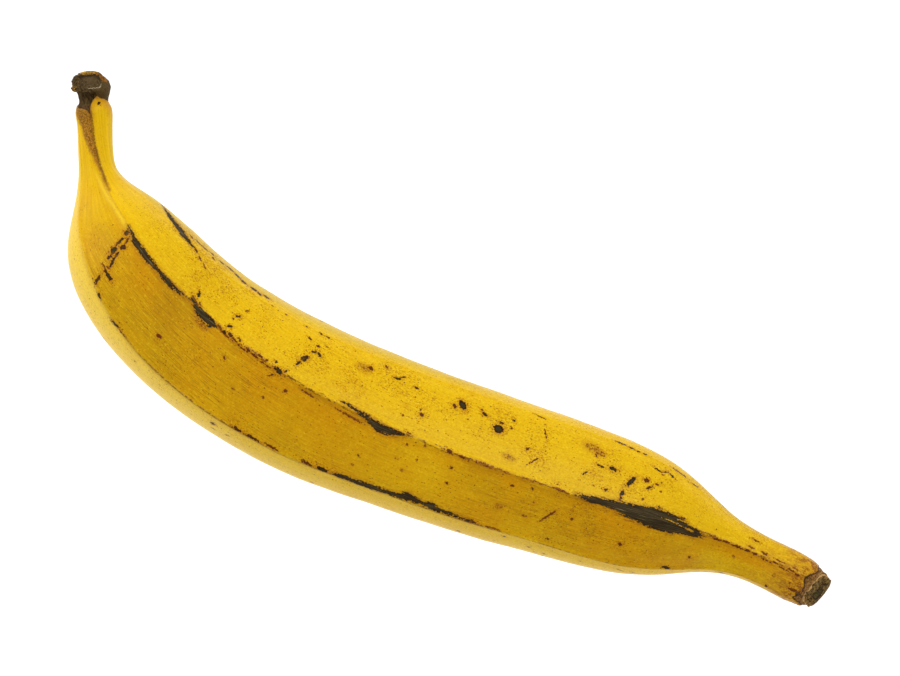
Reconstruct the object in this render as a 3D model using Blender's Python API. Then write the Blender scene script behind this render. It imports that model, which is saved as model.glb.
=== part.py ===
"""A ripe plantain lying on its side, as one solid: fruit, cut stalk and blossom tip grew as one piece.

Metres, +Z up. X runs from the cut stalk (-X) to the blossom tip (+X), the hollow of the bend faces +Y and
the belly faces -Y. The pressed flat of the underside rests on Z = 0, and the origin is on that plane under
the middle of the fruit's box.

The fruit starts as a plain cylinder, the blank. Each of its points has a place along the fruit, around it
and out from its middle line, and is then moved to the surface that the tables below describe.
"""

import math

import bmesh
import bpy
import numpy as np
from mathutils import Vector

# Driving dimensions.
LENGTH = 0.275  # overall, from the stalk to the tip, along X

# The tables below are in millimetres, and give a fruit about 277 long. The finished part is scaled from
# there to LENGTH and moved over the origin, so only their proportions matter.

# The middle line seen from above: distance along it, X and Y.
MIDDLE_LINE = (
    (0, -135.6, 1.9),
    (11.5, -127.6, -7.1),
    (27.5, -117.8, -19.2),
    (43, -105.0, -28.6),
    (59, -91.6, -35.8),
    (79, -71.9, -41.0),
    (98.5, -52.1, -42.3),
    (124, -27.0, -40.1),
    (152, 0.1, -33.8),
    (176.5, 24.2, -26.9),
    (202, 48.7, -18.9),
    (228, 72.9, -11.3),
    (251.5, 95.7, -4.6),
    (271, 114.8, -0.3),
    (292, 135.6, 2.3),
)
# Half of the fruit's width seen from above: distance along the middle line, half width.
HALF_WIDTH = (
    (0, 5.2),
    (2, 5.7),
    (4, 5.2),
    (6, 4.4),
    (8.5, 5.2),
    (13, 5.4),
    (21, 5.3),
    (28, 6.1),
    (35, 9.2),
    (42, 13.8),
    (50, 17.6),
    (60, 20.1),
    (74, 21.5),
    (98, 22.6),
    (126, 23.0),
    (157, 22.5),
    (192, 21.7),
    (214, 20.8),
    (228, 19.7),
    (240, 17.1),
    (250, 13.1),
    (258, 9.7),
    (266, 7.8),
    (279, 7.4),
    (287, 6.8),
    (292, 5.0),
)
# Height of the underside, which rests along its middle and curves up at both ends: distance along, height.
UNDERSIDE_LIFT = (
    (0, 23.0),
    (18, 18.5),
    (32, 13.5),
    (44, 6.6),
    (60, 2.0),
    (82, 0.2),
    (107, 0.0),
    (186, 0.0),
    (212, 0.2),
    (232, 2.2),
    (248, 7.4),
    (262, 12.0),
    (292, 16.0),
)
RESTING_PRESS = 0.35  # millimetres by which the underside is pressed flat where it rests

# The five long ridges: at each distance along, degrees from straight up, positive towards the belly.
RIDGES = {
    "inner_upper": ((0, -56), (40, -52), (60, -50), (200, -50), (292, -56)),
    "top": (
        (0, 8),
        (12, 6),
        (20, 0),
        (30, -8),
        (42, -9),
        (60, -11),
        (85, -10),
        (110, -5),
        (150, 3),
        (200, 8),
        (240, 7),
        (265, -1),
        (292, -6),
    ),
    "belly_upper": (
        (0, 62),
        (20, 56),
        (40, 40),
        (55, 34),
        (75, 43),
        (100, 50),
        (150, 53),
        (200, 56),
        (292, 68),
    ),
    "belly_lower": ((0, 137), (292, 137)),
    "inner_lower": ((0, 219), (60, 222), (292, 222)),
}
# How far the face that starts at each ridge bulges, from 0, flat, to 1, part of a circle.
FACE_BULGE = (0.40, 0.40, 0.72, 0.58, 0.75)
# Both ends are rounder than the body: distance along, how far the bulge moves towards a circle.
END_ROUNDNESS = ((0, 0.8), (24, 0.7), (44, 0.35), (70, 0.0), (235, 0.0), (262, 0.25), (292, 0.6))

# The stalk's cut and the tip's scar are oblique: how far each lies along the fruit for each millimetre
# towards the belly, and for each millimetre up. Both lean back, so that they face partly upwards.
STALK_CUT_SLOPE = (-0.12, 0.70)
TIP_SCAR_SLOPE = (-0.20, -0.30)
SLOPE_REACH = 14.0  # millimetres over which a cut's slope dies out along the fruit
STALK_CUT_DEPTH = 0.9  # how far the dried middle of the stalk's cut has shrunk in
TIP_SCAR_DEPTH = 1.2
RIM_START = 0.78  # share of the cut's radius at which its rim starts
HOLLOW_START = 0.39  # share of the radius within which the middle has shrunk in by the whole depth

# How fine the mesh is: rings along each stretch of the fruit, from its start to its end in millimetres.
RING_RUNS = ((0, 10, 8), (10, 62, 16), (62, 236, 25), (236, 292, 17))
POINTS_PER_FACE = 8
SHARP_ANGLE = 40  # degrees between faces past which an edge is shaded sharp, as at the ends' rims

PEEL_COLOUR = (0.75, 0.44, 0.012, 1.0)
PEEL_ROUGHNESS = 0.42


def smooth_curve(table):
    """A natural cubic spline from the first column of table to its other columns."""
    rows = np.array(table, float)
    at, values = rows[:, 0], rows[:, 1:]
    gap = np.diff(at)
    count = len(at)
    system = np.zeros((count, count))
    slopes = np.zeros_like(values)
    system[0, 0] = system[-1, -1] = 1.0
    for i in range(1, count - 1):
        system[i, i - 1 : i + 2] = gap[i - 1], 2 * (gap[i - 1] + gap[i]), gap[i]
        slopes[i] = 6 * ((values[i + 1] - values[i]) / gap[i] - (values[i] - values[i - 1]) / gap[i - 1])
    bend = np.linalg.solve(system, slopes)

    def value(x):
        i = int(np.clip(np.searchsorted(at, x) - 1, 0, count - 2))
        h, before, after = gap[i], at[i + 1] - x, x - at[i]
        return (
            (bend[i] * before**3 + bend[i + 1] * after**3) / (6 * h)
            + (values[i] / h - bend[i] * h / 6) * before
            + (values[i + 1] / h - bend[i + 1] * h / 6) * after
        )

    return value


def eased_steps(table):
    """Level at each row of table and eased in between, so that it never overshoots them."""
    rows = np.array(table, float)

    def value(x):
        i = int(np.clip(np.searchsorted(rows[:, 0], x) - 1, 0, len(rows) - 2))
        share = np.clip((x - rows[i, 0]) / (rows[i + 1, 0] - rows[i, 0]), 0, 1)
        eased = share * share * (3 - 2 * share)
        return float(rows[i, 1] + (rows[i + 1, 1] - rows[i, 1]) * eased)

    return value


middle_at = smooth_curve(MIDDLE_LINE)
half_width_at = smooth_curve(HALF_WIDTH)
lift_at = smooth_curve(UNDERSIDE_LIFT)
end_roundness_at = eased_steps(END_ROUNDNESS)
ridge_angle_at = [smooth_curve(rows) for rows in RIDGES.values()]
AXIS_LENGTH = MIDDLE_LINE[-1][0]


def outline_point(along, turn):
    """(towards the belly, up) of a point of the section, whose ridges are 1 from the middle line. turn runs
    from 0 to 1 once around, an equal share for each face."""
    angles = [math.radians(angle_at(along)[0]) for angle_at in ridge_angle_at]
    angles.append(angles[0] + 2 * math.pi)
    across, face = math.modf(turn * len(RIDGES))
    face = int(face)
    width = angles[face + 1] - angles[face]
    flat = math.cos(width / 2) / math.cos((across - 0.5) * width)
    bulge = FACE_BULGE[face]
    bulge += (1 - bulge) * end_roundness_at(along)
    angle = angles[face] + across * width
    radius = flat + bulge * (1 - flat)
    return radius * math.sin(angle), radius * math.cos(angle)


def section(along, around):
    """The section's outline, as (towards the belly, up) pairs in millimetres. It is as wide as HALF_WIDTH
    says, and its lowest point is at height 0."""
    outline = np.array([outline_point(along, k / around) for k in range(around)])
    low, high = outline.min(0), outline.max(0)
    outline[:, 0] -= (low[0] + high[0]) / 2
    outline[:, 1] -= low[1]
    return outline * (2 * half_width_at(along)[0] / (high[0] - low[0]))


def slope_shift(along, side, up):
    """How far a point moves along the fruit because the nearer end's cut is oblique. The point is side
    towards the belly and up from the section's middle, in millimetres."""
    from_end, slope = min((along, STALK_CUT_SLOPE), (AXIS_LENGTH - along, TIP_SCAR_SLOPE))
    share = max(0.0, 1 - from_end / SLOPE_REACH) ** 2
    return share * (slope[0] * side + slope[1] * up)


def direction_at(along):
    """Unit vector along the middle line, towards the tip."""
    reach = 0.5
    before, after = middle_at(max(0, along - reach)), middle_at(min(AXIS_LENGTH, along + reach))
    return Vector((*(after - before), 0)).normalized()


def surface_ring(along, around):
    """The section's points at this distance along, in the blank's order, and its centre, in millimetres."""
    forward = direction_at(along)
    to_belly = Vector((forward.y, -forward.x, 0))
    outline = section(along, around)
    middle_height = outline[:, 1].max() / 2
    base = Vector((*middle_at(along), lift_at(along)[0] - RESTING_PRESS))
    ring = [
        base + to_belly * side + Vector((0, 0, up)) + forward * slope_shift(along, side, up - middle_height)
        for side, up in outline
    ]
    return ring, base + Vector((0, 0, middle_height))


def ring_stations():
    """Distances along the fruit at which the blank has a ring, in millimetres."""
    stations = [0.0]
    for start, end, count in RING_RUNS:
        stations += [start + (end - start) * (k + 1) / count for k in range(count)]
    return stations


def blank(lengthwise, around):
    """A cylinder of radius 1 from Z 0 to 1. Its wall is cut into lengthwise stretches, and each cap has a
    rim, a hollow and a point in the middle."""
    bm = bmesh.new()
    bmesh.ops.create_cone(bm, cap_ends=True, segments=around, radius1=1, radius2=1, depth=1)
    bmesh.ops.translate(bm, vec=(0, 0, 0.5), verts=bm.verts)
    caps = [f for f in bm.faces if len(f.verts) == around]
    wall = [e for e in bm.edges if e.verts[0].co.z != e.verts[1].co.z]
    bmesh.ops.inset_individual(bm, faces=caps, thickness=1 - RIM_START)
    bmesh.ops.inset_individual(bm, faces=caps, thickness=RIM_START - HOLLOW_START)
    bmesh.ops.poke(bm, faces=caps)
    bmesh.ops.subdivide_edges(bm, edges=wall, cuts=lengthwise - 1, use_grid_fill=True)
    return bm


def shrink(out, depth):
    """How far a cap's point lies inside the end, for its distance out from the blank's axis."""
    return depth * min(1.0, max(0.0, (1 - out) / (1 - HOLLOW_START)))


def move_to_surface(bm, stations, around):
    """Moves each point of the blank to its place on the fruit."""
    rings = [surface_ring(along, around) for along in stations]
    last = len(stations) - 1
    for v in bm.verts:
        out = math.hypot(v.co.x, v.co.y)
        index = round(v.co.z * last)
        ring, centre = rings[index]
        turn = round(math.atan2(v.co.y, v.co.x) / (2 * math.pi) * around) % around
        place = centre.lerp(ring[turn], min(1.0, out))
        if index == 0:
            place += direction_at(0) * shrink(out, STALK_CUT_DEPTH)
        if index == last:
            place -= direction_at(AXIS_LENGTH) * shrink(out, TIP_SCAR_DEPTH)
        v.co = place


def press_flat(bm):
    """The underside gives a little where the fruit rests, which makes the flat that it stands on."""
    for v in bm.verts:
        v.co.z = max(0.0, v.co.z)


def fit_to_length(bm):
    """Scales the fruit to LENGTH in metres, with the middle of its box over the origin."""
    xs, ys = [v.co.x for v in bm.verts], [v.co.y for v in bm.verts]
    middle = Vector(((min(xs) + max(xs)) / 2, (min(ys) + max(ys)) / 2, 0))
    bmesh.ops.translate(bm, vec=-middle, verts=bm.verts)
    bmesh.ops.scale(bm, vec=[LENGTH / (max(xs) - min(xs))] * 3, verts=bm.verts)


def peel_material():
    material = bpy.data.materials.new("ripe_peel")
    material.use_nodes = True
    shader = material.node_tree.nodes["Principled BSDF"]
    shader.inputs["Base Color"].default_value = PEEL_COLOUR
    shader.inputs["Roughness"].default_value = PEEL_ROUGHNESS
    shader.inputs["Metallic"].default_value = 0.0
    return material


def make_plantain():
    stations = ring_stations()
    around = len(RIDGES) * POINTS_PER_FACE
    bm = blank(len(stations) - 1, around)
    move_to_surface(bm, stations, around)
    press_flat(bm)
    fit_to_length(bm)
    bmesh.ops.recalc_face_normals(bm, faces=bm.faces)
    bmesh.ops.triangulate(bm, faces=bm.faces)
    mesh = bpy.data.meshes.new("plantain")
    bm.to_mesh(mesh)
    bm.free()
    mesh.shade_smooth()
    mesh.set_sharp_from_angle(angle=math.radians(SHARP_ANGLE))
    mesh.materials.append(peel_material())
    plantain = bpy.data.objects.new("plantain", mesh)
    bpy.context.scene.collection.objects.link(plantain)
    return plantain


def main():
    for leftover in list(bpy.data.objects):
        bpy.data.objects.remove(leftover, do_unlink=True)
    make_plantain()


if __name__ == "__main__":
    main()
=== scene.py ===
"""A ripe plantain lying on its side on a white table: peel, dried stalk and blossom tip as one skin.

Metres, +Z up. The stalk is at -X, the blossom tip at +X, the hollow of the bend faces +Y and the belly -Y.

The file is laid out as an add-on: properties hold what a user would change, each operator makes one piece,
and main() calls them in order. The tables are in millimetres on a fruit a little longer than the finished
one, as in the part's own source, and the skin is fitted to the part's box at the end.
"""

import math
import random

import bmesh
import bpy
import numpy as np
from bpy.props import FloatProperty, FloatVectorProperty, IntProperty, PointerProperty
from mathutils import Matrix, Vector, noise


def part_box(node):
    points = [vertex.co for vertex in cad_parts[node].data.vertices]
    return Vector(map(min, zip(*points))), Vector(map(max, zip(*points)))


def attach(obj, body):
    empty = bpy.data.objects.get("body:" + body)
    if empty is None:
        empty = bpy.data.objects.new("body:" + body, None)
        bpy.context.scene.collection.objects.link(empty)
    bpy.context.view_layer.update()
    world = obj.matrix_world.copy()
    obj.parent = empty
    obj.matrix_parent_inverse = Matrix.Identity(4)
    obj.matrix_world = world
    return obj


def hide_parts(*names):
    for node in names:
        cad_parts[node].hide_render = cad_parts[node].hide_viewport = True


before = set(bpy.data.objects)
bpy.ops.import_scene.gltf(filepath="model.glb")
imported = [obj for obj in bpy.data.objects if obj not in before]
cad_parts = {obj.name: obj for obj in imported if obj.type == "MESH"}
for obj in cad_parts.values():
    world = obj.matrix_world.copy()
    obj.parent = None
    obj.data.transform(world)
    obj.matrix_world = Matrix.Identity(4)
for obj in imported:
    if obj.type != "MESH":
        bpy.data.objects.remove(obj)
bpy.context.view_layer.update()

bl_info = {
    "name": "Plantain",
    "version": (1, 0, 0),
    "blender": (4, 5, 0),
    "location": "3D View > Sidebar > Plantain",
    "description": "Models a ripe plantain around its packed part, with table, light and camera",
    "category": "Add Mesh",
}

MM = 0.001
NODE = "plantain"
SENSOR_WIDTH = 36.0  # the camera's, in millimetres

# ---------------------------------------------------------------------------------------------------------
# The fruit's shape, in millimetres.

# The middle line seen from above: distance along it, X and Y.
MIDDLE_LINE = (
    (0, -135.6, 1.9),
    (11.5, -127.6, -7.1),
    (27.5, -117.8, -19.2),
    (43, -105.0, -28.6),
    (59, -91.6, -35.8),
    (79, -71.9, -41.0),
    (98.5, -52.1, -42.3),
    (124, -27.0, -40.1),
    (152, 0.1, -33.8),
    (176.5, 24.2, -26.9),
    (202, 48.7, -18.9),
    (228, 72.9, -11.3),
    (251.5, 95.7, -4.6),
    (271, 114.8, -0.3),
    (292, 135.6, 2.3),
)
# Half of the fruit's width seen from above: distance along the middle line, half width.
HALF_WIDTH = (
    (0, 5.2),
    (2, 5.7),
    (4, 5.2),
    (6, 4.4),
    (8.5, 5.2),
    (13, 5.4),
    (21, 5.3),
    (28, 6.1),
    (35, 9.2),
    (42, 13.8),
    (50, 17.6),
    (60, 20.1),
    (74, 21.5),
    (98, 22.6),
    (126, 23.0),
    (157, 22.5),
    (192, 21.7),
    (214, 20.8),
    (228, 19.7),
    (240, 17.1),
    (250, 13.1),
    (258, 9.7),
    (266, 7.8),
    (279, 7.4),
    (287, 6.8),
    (292, 5.0),
)
# Height of the underside, which rests along its middle and curves up at both ends.
UNDERSIDE_LIFT = (
    (0, 23.0),
    (18, 18.5),
    (32, 13.5),
    (44, 6.6),
    (60, 2.0),
    (82, 0.2),
    (107, 0.0),
    (186, 0.0),
    (212, 0.2),
    (232, 2.2),
    (248, 7.4),
    (262, 12.0),
    (292, 16.0),
)
RESTING_PRESS = 0.35  # how much the underside is pressed flat where it rests

# The five long ridges: at each distance along, degrees from straight up, positive towards the belly.
RIDGES = {
    "inner_upper": ((0, -56), (40, -52), (60, -50), (200, -50), (292, -56)),
    "top": (
        (0, 8),
        (12, 6),
        (20, 0),
        (30, -8),
        (42, -9),
        (60, -11),
        (85, -10),
        (110, -5),
        (150, 3),
        (200, 8),
        (240, 7),
        (265, -1),
        (292, -6),
    ),
    "belly_upper": (
        (0, 62),
        (20, 56),
        (40, 40),
        (55, 34),
        (75, 43),
        (100, 50),
        (150, 53),
        (200, 56),
        (292, 68),
    ),
    "belly_lower": ((0, 137), (292, 137)),
    "inner_lower": ((0, 219), (60, 222), (292, 222)),
}
# How far the face that starts at each ridge bulges, from 0, flat, to 1, part of a circle.
FACE_BULGE = (0.40, 0.40, 0.72, 0.58, 0.75)
# Both ends are rounder than the body: distance along, how far the bulge moves towards a circle.
END_ROUNDNESS = ((0, 0.8), (24, 0.7), (44, 0.35), (70, 0.0), (235, 0.0), (262, 0.25), (292, 0.6))
# The stalk's cut and the tip's scar are oblique: how far each lies along the fruit for each millimetre
# towards the belly, and for each millimetre up.
STALK_CUT_SLOPE = (-0.12, 0.70)
TIP_SCAR_SLOPE = (-0.20, -0.30)
SLOPE_REACH = 14.0  # how far from each end the slope of its cut is felt
SCOOP_REACH = 6.0  # and the scoop in it
AXIS_LENGTH = MIDDLE_LINE[-1][0]
SHOULDER = (30, 52)  # where the stem widens into the body
NECK = (258, 280)  # where the body narrows into the tip

# How fine the skin is: rings along each stretch, from its start to its end, and columns on each face.
RING_RUNS = ((0, 14, 46), (14, 62, 78), (62, 240, 210), (240, 280, 60), (280, 292, 46))
COLUMNS = (56, 60, 30, 22, 30)
TOP_COLUMN = COLUMNS[0]
CAP_RINGS = 12
ON_WALL = 0.999  # share of the blank's radius from which a point is on its wall
SHARP_ANGLE = math.radians(60)  # steeper edges than this aren't shaded smooth

# ---------------------------------------------------------------------------------------------------------
# Where the living peel ends. Turn around the fruit counts the faces from the inner upper ridge: the top
# ridge is 1, the belly's upper ridge 2. The peel ends in pointed tongues on the dried stalk, and in a
# sharp fold before the blossom scar.

STALK_PEEL_EDGE = (
    (0.0, 6.6),
    (0.3, 5.8),
    (0.5, 5.0),
    (0.68, 5.9),
    (0.86, 7.2),
    (0.94, 9.4),
    (1.02, 11.9),
    (1.14, 10.4),
    (1.5, 9.4),
    (1.8, 9.0),
    (2.2, 7.6),
    (2.7, 9.2),
    (3.1, 7.0),
    (3.5, 8.6),
    (4.0, 6.8),
    (4.4, 8.2),
    (4.8, 7.0),
    (5.0, 6.6),
)
TIP_PEEL_EDGE = (
    (0.0, 287.5),
    (0.2, 288.5),
    (0.5, 288.1),
    (0.78, 286.6),
    (1.0, 285.9),
    (1.15, 286.3),
    (1.3, 287.4),
    (1.5, 288.0),
    (1.7, 287.4),
    (1.86, 285.4),
    (1.94, 286.0),
    (2.04, 288.6),
    (2.3, 289.4),
    (2.6, 288.0),
    (3.0, 286.0),
    (3.5, 287.5),
    (4.0, 286.3),
    (4.5, 287.6),
    (5.0, 287.5),
)
# The fold that runs down the stem beside the top ridge: distance along, millimetres around from the ridge.
STEM_FOLD = ((10, 0.0), (14, -0.5), (20, -0.5), (25, -0.8), (30, -1.2), (36, -1.0))
# The dried brown patch beside it: distance along, around, half width.
STEM_PATCH = (
    (7, 2.6, 3.8),
    (11, 2.2, 3.1),
    (15, 1.6, 2.2),
    (19, 1.0, 1.5),
    (24, 0.0, 1.0),
    (30, -0.8, 0.6),
    (37, -1.0, 0.3),
)

# The stalk's crown leans and is torn: distance along, how far it stands out towards the inside of the bend,
# and towards the belly.
CROWN_INNER = (
    (0, -0.4),
    (1.5, 0.6),
    (3, 0.95),
    (5, 1.0),
    (6.5, 0.75),
    (8, 0.2),
    (12, 0.1),
    (16, 0.05),
    (22, -0.1),
    (28, -0.4),
    (32, -0.2),
    (36, 0),
)
CROWN_BELLY = (
    (0, 0.2),
    (1, 0.35),
    (2.6, 0.5),
    (3.4, 0.55),
    (3.8, -0.15),
    (4.6, -0.1),
    (5.5, 0.3),
    (7, 0.4),
    (8.5, 0.05),
    (12, 0),
)
# The bare wood of the stalk's cut: centre towards the belly and up, and half widths.
WOOD = (0.1, 0.5, 3.6, 3.3)
# The hollow in the blossom scar, the same way.
SCAR = (0.7, -0.2, 1.7, 1.9)
# The upper side of both cuts is set back further, by this much, and their middles are this deep.
CUT_SCOOP = 1.9
SCAR_SCOOP = 2.0
WOOD_DEPTH = 0.95
SCAR_DEPTH = 1.3
# The raised crest up the shoulder: distance along, millimetres around from the top ridge.
CREST = ((28, 1.1), (32, 0.9), (36.5, 0.8), (44.5, 0.2), (50, 0.0), (56, 0.0))
# Living streaks left in the big bruise: distance along, around, half width.
STREAKS = (
    ((239.0, -1.2, 0.25), (242.5, -0.7, 0.5), (245.0, -0.1, 0.5), (247.8, 0.2, 0.35), (250.0, 0.7, 0.15)),
    ((243.0, -2.1, 0.15), (246.5, -1.5, 0.3), (249.0, -0.6, 0.15)),
)

# ---------------------------------------------------------------------------------------------------------
# Marks on the peel, in millimetres: distance along the fruit, and around it from the top ridge, positive
# towards the belly.

# Sunken black bruises and streaks, as lines of along, around and half width.
BRUISES = (
    ((52.5, -0.8, 0.2), (56, -0.4, 0.4), (60, 0.3, 0.9), (66, 0.7, 0.9), (70, 0.6, 0.65), (75, 0.8, 0.7),
     (78, 0.8, 0.45), (81, 0.5, 0.35), (84, 0.1, 0.12)),
    ((84.5, -0.7, 0.2), (86.5, 0.2, 0.5), (89, 0.8, 1.0), (91.5, 1.1, 1.2), (94, 0.9, 1.1), (96, 0.6, 0.2)),
    ((140, -1.1, 0.15), (144, -0.7, 0.5), (148, 0.0, 0.5), (150.5, 0.7, 0.9), (153, 1.2, 1.35),
     (156, 1.4, 1.1), (158, 0.9, 0.55), (160, 0.4, 0.12)),
    ((212.5, -0.6, 0.15), (217, -0.5, 0.75), (221, -0.9, 0.95), (225, -1.2, 1.3), (228, -0.8, 1.8),
     (232, -0.5, 2.4), (236, -0.5, 2.9), (240, -0.3, 3.0), (243, 0.0, 2.7), (246, 0.2, 1.9),
     (249.5, 0.8, 1.3), (252.5, 1.0, 0.2)),
    ((145, 21.0, 0.5), (150, 20.6, 0.8), (155, 20.2, 1.0), (160, 19.8, 0.7), (164, 19.2, 0.6),
     (166.5, 18.3, 1.5), (169, 18.6, 1.1), (171, 18.9, 0.6), (173.5, 18.5, 1.2), (176, 18.9, 0.7),
     (180, 18.7, 0.3), (185, 18.7, 0.1)),
    ((46, -18.8, 0.3), (50, -17.6, 0.6), (54, -16.9, 0.85), (58, -16.5, 1.0), (62, -15.9, 1.3),
     (65, -15.3, 1.35), (68, -15.0, 0.8), (71, -14.4, 0.35)),
    ((108, 56.0, 0.3), (114, 56.5, 1.0), (122, 57.2, 1.4), (131, 57.0, 0.9), (138, 56.6, 0.2)),
    ((168, -57.5, 0.2), (174, -57.0, 0.9), (181, -56.8, 1.2), (187, -56.6, 0.8), (196, -56.0, 0.2)),
    ((73, -50.5, 0.2), (78, -50.2, 0.8), (83, -51.0, 0.7), (88, -51.6, 0.2)),
)
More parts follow.
